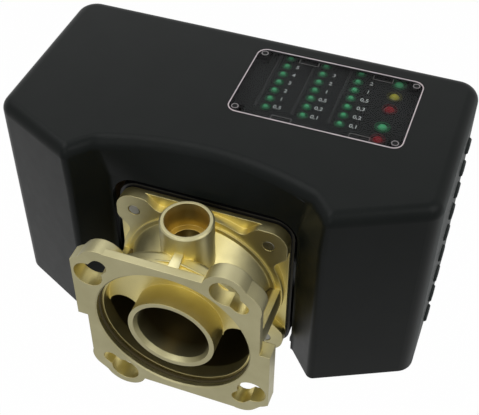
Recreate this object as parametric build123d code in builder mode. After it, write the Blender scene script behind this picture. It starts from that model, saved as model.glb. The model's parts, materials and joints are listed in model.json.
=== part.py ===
from build123d import *
import math
import os

# Leak protection device on a rotary connection flange, in millimetres.
# +X is right as seen from the pipe, +Y runs from the pipe flange into the device, +Z is up.
# The origin is the centre of the front face of the connection flange.

# Connection flange of the brass body
flange_half = 36.1
flange_corner_r = 7.8
flange_plate_t = 3.4
flange_boss_t = 7.0
flange_side_half = 40.3
side_lobe_end_z = 3.3
side_strip_w = 7.2
bolt_circle_r = 40.0
keyhole_lock_angle = 45.0
keyhole_turn = 11.3
keyhole_head_r = 6.0
keyhole_slot_w = 6.6
boss_head_r = 9.1
boss_lock_r = 8.2

# Coaxial water ways of the brass body
channel_face_r = 32.0
channel_face_depth = 2.4
channel_lead = 0.6
channel_r = 30.8
channel_ring_section = 1.9
channel_ring_sink = 0.5
oring_section = 2.2
oring_squeeze = 0.1
recess_depth = 9.6
recess_wall_t = 2.2
cup_wall_t = 3.9
cup_edge_r = 2.2
tube_bore_r = 16.0
tube_front_r = 15.0
tube_lead = 2.2
tube_step_y = 26.0
tube_wall = 2.0
tube_stand = 0.7
passage_top_z = -3.9
neck_front_r = 21.3
neck_rear_r = 30.4
neck_wall = 2.8
neck_rib_r = 32.2
neck_rib_t = 1.0
lower_channel_wall = 3.4
lower_channel_lid = 5.0

# Vertical port on the neck
port_y = 19.9
port_r = 10.4
port_bore_r = 8.6
port_top_z = 44.6
port_step_z = 33.0
port_hole_r = 6.2
port_lip = 0.6
port_rib_w = 5.2
port_rib_front_y = 6.6
port_rib_top_z = 34.4

# Rear flange of the brass body and the parts clamped to it
rear_margin = 1.2
rear_corner_r = 7.5
rear_front_y = 32.2
rear_plate_y = 35.6
rear_face_y = 37.4
rear_rim_gap = 1.0
rear_arm_w = 17.7
rear_arm_r = 3.5
rear_screw_inset = 7.6
rear_screw_r = 2.5
rear_thread_gap = 0.02
gasket_t = 0.8
gasket_inset = 0.6
housing_flange_t = 5.8
housing_flange_margin = 1.2
screw_gap = 0.25
screw_head_r = 4.25
screw_head_h = 5.0

# Valve housing behind the rear flange
housing_r = 34.5
housing_wall = 3.3
housing_end_y = 102.0
end_cap_t = 4.0
end_cap_plug = 6.0
plug_gap = 0.1
lug_r = 4.6
lug_reach = 2.7
lug_len = 12.0
cap_screw_r = 2.0
cap_screw_head_r = 3.5
cap_screw_head_h = 4.0
cap_screw_len = 14.0
boss_r = 15.0
boss_reach = 5.1

# Ball valve cartridge
ball_y = 72.0
ball_r = 19.0
ball_bore_r = 12.5
seat_gap = 0.04
seat_margin = 0.2
seat_lip = 0.7
seat_cover = 2.8
cartridge_fit = 0.1
cartridge_wall = 4.2
sleeve_wall = 3.4
cartridge_end_y = 96.0
rib_t = 3.0
rib_len = 8.0
retainer_margin = 1.1
retainer_slot = 2.4
retainer_slot_depth = 2.0

# Stem and hand-turned motor drive, all on one axis along X
stem_r = 5.0
stem_fit = 0.05
stem_start_gap = 0.3
stem_grip = 11.3
tang_w = 5.8
tang_len = 10.0
tang_depth = 3.6
slot_gap = 0.1
cross_pin_r = 1.3
cross_pin_inset = 4.0
ring_insets = (6.0, 2.6)
stem_groove_r = 3.7
stem_ring_section = 1.3
stem_ring_gap = 0.02
stop_plate_t = 2.0
stop_plate_r = 27.0
stop_gap = 0.3
stop_slot_mid_r = 21.0
stop_pin_r = 2.0
stop_slot_gap = 0.3
stop_start = 45.0
drive_turn = 90.0
stop_screw_mid_r = 11.5
stop_screw_r = 1.5
stop_screw_head_r = 2.75
stop_screw_len = 6.0
stop_hole_depth = 7.0
stop_screw_hex = 1.0
stop_screw_hex_depth = 1.2
disc_t = 1.6
disc_r = 17.0
magnet_r = 2.5
magnet_mid_r = 13.5
gearbox_size = 40.0
gearbox_corner_r = 8.0
gearbox_len = 15.0
motor_r = 17.0
motor_end_gap = 1.2
motor_end_r = 1.5
motor_cap_r = 6.0
motor_cap_t = 1.6
motor_ear_r = 3.4
motor_ear_t = 1.6
motor_ear_mid_r = 20.5
motor_screw_r = 1.5
motor_screw_len = 3.4
motor_screw_head_r = 2.75
motor_screw_head_h = 2.4
motor_plug_w = 8.0
motor_plug_h = 5.0
motor_plug_inset = 5.0
motor_plug_len = 7.0
position_sensor_w = 7.0
position_sensor_h = 11.0
position_sensor_gap = 1.0

# Flow turbine inside the sleeve
turbine_y = 44.9
turbine_len = 7.4
turbine_r = 15.2
turbine_hub_r = 4.2
turbine_blades = 6
turbine_twist = 38.0
turbine_blade_t = 1.1
axle_r = 1.0
axle_fit = 0.05
spider_t = 2.4
spider_hub_r = 3.2
spider_arm_w = 1.8
turbine_end_gap = 0.4
sensor_w = 14.0
sensor_h = 4.5

# Hood
hood_half_x = 89.0
hood_back_y = 120.5
hood_top_z = 59.4
hood_bottom_z = -35.7
hood_wall = 2.6
hood_top_t = 2.2
leg_margin = 11.2
leg_front_y = 23.1
leg_slope = 0.49
hood_front_corner_r = 8.0
hood_back_corner_r = 9.0
hood_top_r = 5.0
niche_margin = 0.6
niche_back_y = 35.5
niche_low_z = 41.0
niche_top_flare = 4.8
niche_top_side_y = 32.4
niche_top_mid_y = 42.6
niche_low_corner_r = 3.0
niche_top_corner_r = 9.0
leg_edge_r = 3.0
opening_gap = 2.9
opening_top_gap = 5.5
opening_corner_r = 11.0
grip_count = 9
grip_len = 11.0
grip_w = 5.4
grip_raise = 1.1
grip_low_y = 71.0
grip_low_z = -31.0
grip_high_y = 102.0
grip_high_z = 40.0
hood_rib_t = 2.0
hood_rib_depth = 8.0
hood_rib_reach = 1.4
hood_rib_inset = 24.0
hood_rib_gap = 0.3
hood_back_rib_top_z = 36.0

# Window in the top of the hood
window_x0 = -2.9
window_x1 = 67.3
window_y0 = 68.1
window_y1 = 110.8
window_corner_r = 4.0
window_t = 1.8
window_gap = 0.3
tab_t = 1.4
tab_w = 8.0
tab_reach = 2.0
tab_xs = (19.0, 50.4)
post_r = 1.4
post_inset = 3.0
post_gap = 0.15
ear_size = 6.0

# Base plate, brackets and rails
base_t = 2.5
base_gap = 0.5
base_top_z = -32.5
base_slot_gap = 1.5
bracket_t = 1.6
bracket_left_inset = 32.0
bracket_right_inset = 6.4
bracket_y0 = 50.0
bracket_back_gap = 5.5
bracket_frame = 12.0
bracket_frame_r = 4.0
bracket_screw_end = 8.0
bracket_foot = 10.0
rail_clearance = 6.5
rail_h = 5.0
rail_w = 4.0
rail_edge = 0.4
bracket_screw_r = 1.5
bracket_screw_head_r = 2.8
bracket_screw_head_h = 1.8
bracket_screw_len = 5.0
foot_screw_r = 1.5
foot_reach = 7.0
foot_ys = (57.0, 92.0)
foot_h = 5.0
foot_w = 9.0
foot_len = 12.0
foot_hole_depth = 4.0
bracket_screw_inset = 6.5

# Electronics carrier that slides to the left on the rails
carrier_x0 = -20.0
carrier_right_gap = 2.6
carrier_corner_r = 2.0
carrier_floor_t = 1.6
carrier_slot_w = 18.0
carrier_slot_pitch = 24.0
carrier_slot_end = 15.0
carrier_wall = 1.6
rail_fit = 0.05
board_x0 = 1.0
board_y0 = 57.5
board_end_gap = 1.0
board_back_gap = 1.9
board_corner_r = 2.0
board_t = 1.6
board_z = 47.8
led_r = 1.5
led_top_z = 55.7
led_collar = 0.4
led_collar_t = 1.0
led_first_y = 79.6
led_pitch = 5.6
led_rows = 7
led_column_xs = (10.0, 25.4, 40.5)
status_x = 56.8
status_r = 2.4
status_green_ys = (111.6, 83.5)
status_yellow_y = 103.4
status_red_ys = (95.0, 75.9)
key_y = 63.0
key_xs = (10.0, 25.4, 40.5)
manual_key_x = 56.8
key_r = 1.75
manual_key_r = 3.0
key_travel = 0.5
key_top_z = 55.4
switch_size = 6.2
switch_h = 3.6
key_fit = 0.06

board_screw_r = 1.25
board_screw_len = 5.0
board_screw_head_r = 2.25
board_screw_head_h = 2.0
board_post_r = 2.8
board_inset = 2.9
guide_depth = 3.0
guide_gap = 0.08
switch_floor = 0.8
relay_w = 10.0
relay_len = 20.0
relay_top_gap = 4.45
relay_inset = 20.0
capacitor_r = 5.0
capacitor_top_gap = 4.45
capacitor_inset = 18.0
power_board_side = 1.5
power_board_end = 5.0

# Dark mask over the display board, with holes for lamps and keys
mask_z = 53.6
mask_t = 1.0
mask_gap = 0.35
mask_post_r = 1.6
mask_side = 2.0
mask_left = 3.1

# Mains side
transformer_inset = 17.5
transformer_back = 40.5
core_x = 18.0
core_y = 40.0
core_z = 34.0
coil_x = 22.0
coil_corner_r = 2.0
terminal_inset = 19.0
terminal_y = 53.0
terminal_w = 22.0
terminal_depth = 10.0
terminal_shoulder = 6.0
terminal_h = 11.0
terminal_top_w = 5.2
terminal_hole_r = 1.7
terminal_hole_depth = 6.0
terminal_mouth = 3.2
terminal_mouth_z = 3.0
terminal_mouth_depth = 6.0
terminal_screw_r = 1.6
terminal_screw_h = 4.4
terminal_slot_w = 0.6
terminal_slot_depth = 0.9
gland_inset = 17.0
gland_back = 12.5
gland_hole_r = 6.1
gland_bore_r = 3.6
gland_hex = 15.0
gland_flange_t = 4.0
gland_thread_len = 12.0
gland_inner_len = 7.0
gland_nut_t = 3.0
gland_cap_len = 7.5
gland_cap_end = 2.0
gland_cap_edge = 1.0
small_gap = 0.1

# Values that follow from the ones above
rear_half = housing_r + rear_margin
rear_screw_pos = rear_half - rear_screw_inset
lug_mid_r = housing_r + lug_reach
boss_end_x = housing_r + boss_reach
opening_half = rear_half + opening_gap
opening_top_z = rear_half + opening_top_gap
niche_back_half = opening_half + niche_margin
niche_top_half = niche_back_half + niche_top_flare
leg_front_x = niche_back_half + leg_margin
seat_r = ball_r + seat_margin
seat_inner_r = ball_bore_r + seat_lip
seat_front = ball_r - seat_cover
seat_back = ball_r / 2
retainer_inner_r = ball_bore_r + retainer_margin
stem_start_x = ball_r + stem_start_gap
tang_start_x = ball_r - tang_depth
tube_r = tube_bore_r + tube_wall
passage_mid_r = (channel_r + tube_r) / 2
cup_r = channel_r + cup_wall_t
groove_y1 = channel_face_depth + channel_ring_section + oring_squeeze
seal_mid_r = channel_face_r + channel_ring_sink
groove_r = seal_mid_r + channel_ring_section / 2
cup_back_y = recess_depth + recess_wall_t
housing_y = rear_face_y + gasket_t
housing_bore_r = housing_r - housing_wall
housing_flange_y = housing_y + housing_flange_t
cartridge_bore_r = seat_r + cartridge_fit
cartridge_r = cartridge_bore_r + cartridge_wall
sleeve_r = tube_bore_r + sleeve_wall
boss_bore_r = stem_r + stem_fit
stop_x = boss_end_x + small_gap
disc_x = stop_x + stop_plate_t + stop_gap
gearbox_x = disc_x + disc_t + small_gap
motor_x = gearbox_x + gearbox_len + small_gap
stem_end_x = gearbox_x + stem_grip
hood_inner_top = hood_top_z - hood_top_t
hood_rib_x = hood_half_x - hood_rib_inset
bracket_left_x = bracket_left_inset - hood_half_x
bracket_right_x = hood_half_x - bracket_right_inset
bracket_y1 = hood_back_y - bracket_back_gap
motor_len = bracket_right_x - motor_end_gap - motor_cap_t - motor_x
rail_front_y = bracket_y0 + rail_w / 2
rail_back_y = bracket_y1 - rail_w / 2
rail_top_z = housing_r + rail_clearance
carrier_z0 = rail_top_z + rail_fit
power_board_top = carrier_z0 + carrier_floor_t + board_t
relay_h = hood_inner_top - relay_top_gap - power_board_top
capacitor_h = hood_inner_top - capacitor_top_gap - power_board_top
carrier_x1 = bracket_right_x - carrier_right_gap
board_x1 = carrier_x1 - board_end_gap
board_y1 = hood_back_y - hood_wall - board_back_gap
transformer_x = transformer_inset - hood_half_x
transformer_y = hood_back_y - transformer_back
terminal_x = terminal_inset - hood_half_x
gland_x = gland_inset - hood_half_x
gland_y = hood_back_y - gland_back
base_low_z = base_top_z - base_t
base_inset = hood_wall + base_gap
foot_x = housing_r + foot_reach
foot_points = [(sign * foot_x, y) for sign in (-1, 1) for y in foot_ys]
bracket_foot_xs = (
    bracket_left_x + bracket_foot - bracket_screw_inset / 2,
    bracket_right_x + bracket_t - bracket_foot + bracket_screw_inset / 2,
)
bracket_foot_points = [
    (x, y) for x in bracket_foot_xs for y in (bracket_y0 + bracket_screw_end, bracket_y1 - bracket_screw_end)
]
rail_points = [(x, y) for x in bracket_foot_xs for y in (rail_front_y, rail_back_y)]
board_points = [
    (x, y)
    for x in (board_x0 + board_inset, board_x1 - board_inset)
    for y in (board_y0 + board_inset, board_y1 - board_inset - 1.0)
]


def front(y):
    """Drawing plane at depth y, with x to the right and z up."""
    return Plane(origin=(0, y, 0), x_dir=(1, 0, 0), z_dir=(0, -1, 0))


def side(x):
    """Drawing plane across the stem axis, with y to the right and z up."""
    return Plane(origin=(x, ball_y, 0), x_dir=(0, 1, 0), z_dir=(1, 0, 0))


def corner_points(half):
    """The four corners of a square with the given half width."""
    return Locations((half, half), (-half, half), (-half, -half), (half, -half))


def polar(radius, angle):
    """A point at the given radius and angle in degrees."""
    return (radius * math.cos(math.radians(angle)), radius * math.sin(math.radians(angle)))


def keyholes(head_r, lock_w):
    """Outline of the four keyholes: round heads that run into narrower lock slots."""
    half_turn = math.radians(keyhole_turn / 2)
    middle_r = bolt_circle_r * math.cos(half_turn)
    with BuildSketch() as outline:
        with PolarLocations(middle_r, 4, start_angle=keyhole_lock_angle + keyhole_turn / 2):
            SlotCenterToCenter(2 * bolt_circle_r * math.sin(half_turn), lock_w, rotation=90)
        with PolarLocations(bolt_circle_r, 4, start_angle=keyhole_lock_angle + keyhole_turn):
            Circle(head_r)
    return outline.sketch


def leg_y(x, inset=0.0):
    """Depth of the slanted front of a hood leg at x, moved inwards by an inset."""
    return leg_front_y + leg_slope * (abs(x) - leg_front_x) + inset * math.hypot(1, leg_slope)


def hood_plan(z, inset):
    """Plan outline of the hood at a height, moved inwards by an inset."""
    half = hood_half_x - inset
    back = hood_back_y - inset
    with BuildSketch(Plane.XY.offset(z)) as plan:
        with BuildLine():
            Polyline(
                (-half, back),
                (half, back),
                (half, leg_y(half, inset)),
                (leg_front_x, leg_y(leg_front_x, inset)),
                (-leg_front_x, leg_y(leg_front_x, inset)),
                (-half, leg_y(half, inset)),
                close=True,
            )
        make_face()
    return plan.sketch


niche_flare = leg_front_x - niche_back_half
niche_depth = niche_back_y - leg_front_y
niche_slant = math.hypot(niche_flare, niche_depth) / niche_depth


def niche_low(z, inset):
    """Plan outline of the niche below the arch, grown by an inset."""
    out = inset * niche_slant
    back = (niche_back_half + out, niche_back_y + inset)
    mouth = (leg_front_x + 2 * niche_flare + out, leg_front_y - 2 * niche_depth + inset)
    with BuildSketch(Plane.XY.offset(z)) as outline:
        with BuildLine():
            Polyline(back, (-back[0], back[1]), (-mouth[0], mouth[1]), mouth, close=True)
        make_face()
        fillet(outline.vertices().group_by(Axis.Y)[-1], niche_low_corner_r)
    return outline.sketch


def niche_high(z, inset):
    """Plan outline of the niche in the top face, grown by an inset."""
    out = inset * niche_slant
    back = (niche_top_half + out, niche_top_side_y + inset)
    mouth = (leg_front_x + 2 * niche_flare + out, leg_front_y - 2 * niche_depth + inset)
    with BuildSketch(Plane.XY.offset(z)) as outline:
        with BuildLine():
            ThreePointArc(back, (0, niche_top_mid_y + inset), (-back[0], back[1]))
            Polyline((-back[0], back[1]), (-mouth[0], mouth[1]), mouth, back)
        make_face()
        fillet(outline.vertices().group_by(Axis.Y)[-1], niche_top_corner_r)
    return outline.sketch


def niche_solid(inset):
    """The niche as a solid: straight below the arch and lofted up to the top face."""
    with BuildPart() as niche:
        extrude(niche_low(hood_bottom_z - 1, inset), amount=niche_low_z - hood_bottom_z + 1)
        loft([niche_low(niche_low_z, inset).face(), niche_high(hood_top_z, inset).face()], ruled=True)
        extrude(niche_high(hood_top_z, inset), amount=1.0)
    return niche.part


# Brass body: flange, coaxial water ways, port and rear flange
with BuildPart() as valve_body:
    with BuildSketch(front(0)):
        RectangleRounded(2 * flange_half, 2 * flange_half, flange_corner_r)
    extrude(amount=-flange_plate_t)
    with BuildSketch(front(0)):
        add(keyholes(boss_head_r, 2 * boss_lock_r))
        lobe_x = flange_side_half - side_strip_w / 2
        lobe_z = (flange_half - flange_corner_r - side_lobe_end_z) / 2
        with Locations((-lobe_x, lobe_z), (lobe_x, -lobe_z)):
            Rectangle(side_strip_w, flange_half - flange_corner_r + side_lobe_end_z)
        Rectangle(2 * flange_side_half, 4 * flange_side_half, mode=Mode.INTERSECT)
    extrude(amount=-flange_boss_t)
    # Round cup behind the flange
    with BuildSketch(front(0)):
        Circle(cup_r)
    extrude(amount=-cup_back_y)
    cup_rim = valve_body.edges().filter_by(GeomType.CIRCLE).group_by(Axis.Y)[-1]
    fillet(cup_rim, cup_edge_r)
    # Conical neck that widens to the rear flange
    with BuildSketch(Plane.XY):
        with BuildLine():
            Polyline(
                (0, cup_back_y - 1),
                (neck_front_r, cup_back_y - 1),
                (neck_rear_r, rear_front_y - neck_rib_t),
                (neck_rib_r, rear_front_y - neck_rib_t),
                (neck_rib_r, rear_face_y),
                (0, rear_face_y),
                close=True,
            )
        make_face()
    revolve(axis=Axis.Y)
    # Lower channel between the cup and the rear flange
    with BuildSketch(front(recess_depth)):
        Circle(channel_r + lower_channel_wall)
        with Locations((0, lower_channel_lid + channel_r)):
            Rectangle(4 * channel_r, 2 * channel_r, mode=Mode.SUBTRACT)
    extrude(amount=recess_depth - rear_plate_y)
    # Rear flange: square plate with a round rim and diagonal arms to its corners
    with BuildSketch(front(rear_plate_y)):
        RectangleRounded(2 * rear_half, 2 * rear_half, rear_corner_r)
    extrude(amount=rear_plate_y - rear_face_y)
    with BuildSketch(front(rear_front_y)) as rear_arms:
        for arm_angle in (45, 135):
            with Locations(Location((0, 0, 0), (0, 0, arm_angle))):
                Rectangle(4 * rear_half, rear_arm_w)
        Circle(rear_half - rear_rim_gap)
        RectangleRounded(2 * rear_half, 2 * rear_half, rear_corner_r, mode=Mode.INTERSECT)
        arm_shoulder = math.hypot(rear_half, rear_half - rear_arm_w / math.sqrt(2))
        shoulders = [v for v in rear_arms.vertices() if math.hypot(v.X, v.Y) < arm_shoulder + 0.1]
        fillet(shoulders, rear_arm_r)
    extrude(amount=rear_front_y - rear_face_y)
    # Vertical port
    with BuildSketch(Plane.XY.offset(tube_r - 1)):
        with Locations((0, port_y)):
            Circle(port_r)
    extrude(amount=port_top_z - tube_r + 1)
    chamfer(valve_body.edges().filter_by(GeomType.CIRCLE).sort_by(Axis.Z)[-1], port_lip)
    with BuildSketch(Plane.XY.offset(tube_r)):
        with Locations((0, (port_rib_front_y + port_y) / 2)):
            Rectangle(port_rib_w, port_y - port_rib_front_y)
    extrude(amount=port_rib_top_z - tube_r)
    # Water ways: face recess, groove, annular recess and lower passage
    with BuildSketch(front(0)):
        Circle(channel_face_r)
    extrude(amount=-channel_face_depth, mode=Mode.SUBTRACT)
    with BuildSketch(front(channel_face_depth)):
        Circle(groove_r)
    extrude(amount=channel_face_depth - groove_y1, mode=Mode.SUBTRACT)
    with BuildSketch(front(groove_y1)):
        Circle(channel_r)
    extrude(amount=groove_y1 - recess_depth, mode=Mode.SUBTRACT)
    with BuildSketch(front(recess_depth)):
        Circle(channel_r)
        with Locations((0, channel_r + passage_top_z)):
            Rectangle(4 * channel_r, 2 * channel_r, mode=Mode.SUBTRACT)
        with Locations((-passage_mid_r, passage_top_z), (passage_mid_r, passage_top_z)):
            Circle(channel_r - passage_mid_r)
    extrude(amount=recess_depth - rear_face_y, mode=Mode.SUBTRACT)
    # Hollow of the neck above the lower passage
    with BuildSketch(Plane.XY):
        neck_slope = (neck_rear_r - neck_front_r) / (rear_front_y - cup_back_y + 1)
        hollow_y = cup_back_y + neck_wall + 1
        with BuildLine():
            Polyline(
                (0, hollow_y),
                (neck_front_r - neck_wall + neck_slope * neck_wall, hollow_y),
                (neck_rear_r - neck_wall, rear_front_y),
                (neck_rear_r - neck_wall, rear_face_y + 1),
                (0, rear_face_y + 1),
                close=True,
            )
        make_face()
    revolve(axis=Axis.Y, mode=Mode.SUBTRACT)
    # Inner tube, port wall through the hollow, and their bores
    with BuildSketch(front(-tube_stand)):
        Circle(tube_r)
    extrude(amount=-tube_stand - rear_face_y)
    with BuildSketch(Plane.XY.offset(tube_bore_r)):
        with Locations((0, port_y)):
            Circle(port_hole_r + tube_wall)
    extrude(amount=port_step_z - tube_bore_r)
    with BuildSketch(Plane.XY):
        with BuildLine():
            Polyline(
                (0, -tube_stand),
                (tube_bore_r, -tube_stand),
                (tube_front_r, tube_lead - tube_stand),
                (tube_front_r, tube_step_y),
                (tube_bore_r, tube_step_y),
                (tube_bore_r, rear_face_y),
                (0, rear_face_y),
                close=True,
            )
        make_face()
    revolve(axis=Axis.Y, mode=Mode.SUBTRACT)
    with BuildSketch(Plane.XY.offset(port_top_z)):
        with Locations((0, port_y)):
            Circle(port_bore_r)
    extrude(amount=port_step_z - port_top_z, mode=Mode.SUBTRACT)
    with BuildSketch(Plane.XY.offset(port_step_z)):
        with Locations((0, port_y)):
            Circle(port_hole_r)
    extrude(amount=-port_step_z, mode=Mode.SUBTRACT)
    # Keyholes and screw holes
    with BuildSketch(front(0)):
        add(keyholes(keyhole_head_r, keyhole_slot_w))
    extrude(amount=-flange_boss_t, mode=Mode.SUBTRACT)
    with BuildSketch(front(rear_front_y)):
        with corner_points(rear_screw_pos):
            Circle(rear_screw_r + rear_thread_gap)
    extrude(amount=rear_front_y - rear_face_y, mode=Mode.SUBTRACT)
    face_edges = valve_body.edges().filter_by(GeomType.CIRCLE)
    mouth = [e for e in face_edges if abs(e.radius - channel_face_r) < 0.01 and abs(e.center().Y) < 0.01]
    chamfer(mouth, channel_lead)
valve_body.part.label = "valve_body"
export_step(valve_body.part, "parts/valve_body.step")

with BuildPart() as channel_seal:
    with BuildSketch(Plane.XY):
        with Locations((seal_mid_r, (channel_face_depth + groove_y1) / 2)):
            Circle(channel_ring_section / 2)
    revolve(axis=Axis.Y)
channel_seal.part.label = "channel_seal"
export_step(channel_seal.part, "parts/channel_seal.step")

with BuildPart() as body_gasket:
    with BuildSketch(front(rear_face_y)):
        RectangleRounded(
            2 * (rear_half - gasket_inset), 2 * (rear_half - gasket_inset), rear_corner_r - gasket_inset
        )
        Circle(housing_bore_r, mode=Mode.SUBTRACT)
        with corner_points(rear_screw_pos):
            Circle(rear_screw_r + screw_gap, mode=Mode.SUBTRACT)
    extrude(amount=-gasket_t)
body_gasket.part.label = "body_gasket"
export_step(body_gasket.part, "parts/body_gasket.step")

# Housing bolted to the rear flange: cup with lugs and stem boss
with BuildPart() as valve_housing:
    with BuildSketch(front(housing_y)):
        housing_flange_w = 2 * (rear_half + housing_flange_margin)
        RectangleRounded(housing_flange_w, housing_flange_w, rear_corner_r + housing_flange_margin)
    extrude(amount=-housing_flange_t)
    with BuildSketch(front(housing_y)):
        Circle(housing_r)
    extrude(amount=housing_y - housing_end_y)
    with BuildSketch(front(housing_end_y - lug_len)):
        with PolarLocations(lug_mid_r, 4, start_angle=45):
            Circle(lug_r)
    extrude(amount=-lug_len)
    with BuildSketch(side(boss_r)):
        Circle(boss_r)
    extrude(amount=boss_end_x - boss_r)
    with BuildSketch(Plane.XY.offset(base_top_z)):
        foot_start_x = housing_r / 4
        foot_reach_x = foot_x + foot_w / 2
        for sign in (-1, 1):
            with Locations(*[(sign * (foot_reach_x + foot_start_x) / 2, y) for y in foot_ys]):
                Rectangle(foot_reach_x - foot_start_x, foot_len)
    extrude(amount=foot_h)
    with BuildSketch(front(housing_y)):
        Circle(housing_bore_r)
    extrude(amount=housing_y - housing_end_y, mode=Mode.SUBTRACT)
    with BuildSketch(front(housing_y)):
        with corner_points(rear_screw_pos):
            Circle(rear_screw_r + screw_gap)
    extrude(amount=-housing_flange_t, mode=Mode.SUBTRACT)
    with BuildSketch(front(housing_end_y - cap_screw_len + end_cap_t)):
        with PolarLocations(lug_mid_r, 4, start_angle=45):
            Circle(cap_screw_r + rear_thread_gap)
    extrude(amount=end_cap_t - cap_screw_len, mode=Mode.SUBTRACT)
    with BuildSketch(side(0)):
        Circle(boss_bore_r)
    extrude(amount=boss_end_x + 1, mode=Mode.SUBTRACT)
    with BuildSketch(Plane.XY.offset(base_top_z)):
        with Locations(*foot_points):
            Circle(foot_screw_r + rear_thread_gap)
    extrude(amount=foot_hole_depth, mode=Mode.SUBTRACT)
    with BuildSketch(side(boss_end_x)):
        with PolarLocations(stop_screw_mid_r, 3, start_angle=90):
            Circle(stop_screw_r + rear_thread_gap)
    extrude(amount=-stop_hole_depth, mode=Mode.SUBTRACT)
valve_housing.part.label = "valve_housing"
export_step(valve_housing.part, "parts/valve_housing.step")

with BuildPart() as end_cap:
    with BuildSketch(front(housing_end_y + small_gap)):
        Circle(housing_r)
        with PolarLocations(lug_mid_r, 4, start_angle=45):
            Circle(lug_r)
    extrude(amount=-end_cap_t)
    with BuildSketch(front(housing_end_y + small_gap)):
        Circle(housing_bore_r - plug_gap)
        Circle(housing_bore_r - plug_gap - housing_wall, mode=Mode.SUBTRACT)
    extrude(amount=end_cap_plug)
    with BuildSketch(Plane.XY):
        with Locations((housing_bore_r - plug_gap, housing_end_y - end_cap_plug / 2)):
            Rectangle(2 * oring_section, oring_section + oring_squeeze)
    revolve(axis=Axis.Y, mode=Mode.SUBTRACT)
    with BuildSketch(front(housing_end_y)):
        with PolarLocations(lug_mid_r, 4, start_angle=45):
            Circle(cap_screw_r + screw_gap)
    extrude(amount=-end_cap_t - 1, mode=Mode.SUBTRACT)
end_cap.part.label = "end_cap"
export_step(end_cap.part, "parts/end_cap.step")

with BuildPart() as cap_seal:
    with BuildSketch(Plane.XY):
        with Locations((housing_bore_r - oring_section / 2, housing_end_y - end_cap_plug / 2)):
            Circle(oring_section / 2 - oring_squeeze / 4)
    revolve(axis=Axis.Y)
cap_seal.part.label = "cap_seal"
export_step(cap_seal.part, "parts/cap_seal.step")


def socket_screw(shank_r, shank_len, head_r, head_h):
    """Socket head screw with its head above the XY plane and its shank below."""
    with BuildPart() as screw:
        with BuildSketch():
            Circle(head_r)
        extrude(amount=head_h)
        chamfer(screw.edges().sort_by(Axis.Z)[-1], head_r / 10)
        with BuildSketch():
            Circle(shank_r)
        extrude(amount=-shank_len)
        chamfer(screw.edges().sort_by(Axis.Z)[0], shank_r / 8)
        with BuildSketch(Plane.XY.offset(head_h)):
            RegularPolygon(head_r / 2, 6, major_radius=False)
        extrude(amount=-head_h / 2, mode=Mode.SUBTRACT)
    return screw.part


# Screws of the rear flange come from behind and end flush in the brass lobes
with BuildPart() as flange_screws:
    shank = housing_flange_y - rear_front_y - small_gap
    flange_screw = socket_screw(rear_screw_r, shank, screw_head_r, screw_head_h)
    screw_plane = Plane(origin=(0, housing_flange_y, 0), x_dir=(-1, 0, 0), z_dir=(0, 1, 0))
    with Locations(screw_plane):
        with corner_points(rear_screw_pos):
            add(flange_screw)
flange_screws.part.label = "flange_screws"
export_step(flange_screws.part, "parts/flange_screws.step")

with BuildPart() as cap_screws:
    cap_screw = socket_screw(cap_screw_r, cap_screw_len, cap_screw_head_r, cap_screw_head_h)
    cap_plane = Plane(
        origin=(0, housing_end_y + small_gap + end_cap_t, 0), x_dir=(-1, 0, 0), z_dir=(0, 1, 0)
    )
    with Locations(cap_plane):
        with PolarLocations(lug_mid_r, 4, start_angle=45):
            add(cap_screw)
cap_screws.part.label = "cap_screws"
export_step(cap_screws.part, "parts/cap_screws.step")


def stem_boss():
    """Round boss of the cartridge about the stem, rounded to pass through the housing bore."""
    with BuildPart() as boss:
        with BuildSketch(side(stem_r)):
            Circle(stem_r + cartridge_wall)
        extrude(amount=housing_bore_r)
        with BuildSketch(front(ball_y - stem_r - cartridge_wall)):
            Circle(housing_bore_r - small_gap)
        extrude(amount=-2 * (stem_r + cartridge_wall), mode=Mode.INTERSECT)
    return boss.part


# Cartridge: sleeve that carries on the inner tube, ball chamber and centring ribs
with BuildPart() as cartridge:
    sleeve_end_y = ball_y - seat_front - seat_gap - cartridge_wall
    with BuildSketch(Plane.XY):
        with BuildLine():
            Polyline(
                (0, housing_y),
                (sleeve_r, housing_y),
                (sleeve_r, sleeve_end_y - (cartridge_r - sleeve_r)),
                (cartridge_r, sleeve_end_y),
                (cartridge_r, cartridge_end_y),
                (0, cartridge_end_y),
                close=True,
            )
        make_face()
    revolve(axis=Axis.Y)
    with BuildSketch(front(cartridge_end_y - rib_len)):
        with PolarLocations((cartridge_r + housing_bore_r) / 2 - 0.5, 4, start_angle=45):
            Rectangle(housing_bore_r - cartridge_r - 2 * small_gap + 1, rib_t)
        Circle(housing_bore_r - small_gap, mode=Mode.INTERSECT)
        Circle(cartridge_r)
    extrude(amount=-rib_len)
    add(stem_boss())
    with BuildSketch(front(housing_y)):
        Circle(tube_bore_r)
    extrude(amount=housing_y - sleeve_end_y, mode=Mode.SUBTRACT)
    with BuildSketch(front(sleeve_end_y)):
        Circle(retainer_inner_r)
    extrude(amount=-cartridge_wall, mode=Mode.SUBTRACT)
    with BuildSketch(front(ball_y - seat_front - seat_gap)):
        Circle(cartridge_bore_r)
    extrude(amount=ball_y - seat_front - seat_gap - cartridge_end_y, mode=Mode.SUBTRACT)
    with BuildSketch(side(0)):
        Circle(boss_bore_r)
    extrude(amount=housing_bore_r, mode=Mode.SUBTRACT)
cartridge.part.label = "cartridge"
export_step(cartridge.part, "parts/cartridge.step")

with BuildPart() as tube_seal:
    with BuildSketch(front(rear_face_y)):
        Circle(tube_r)
        Circle(tube_bore_r + 2 * small_gap, mode=Mode.SUBTRACT)
    extrude(amount=-gasket_t)
tube_seal.part.label = "tube_seal"
export_step(tube_seal.part, "parts/tube_seal.step")


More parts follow.
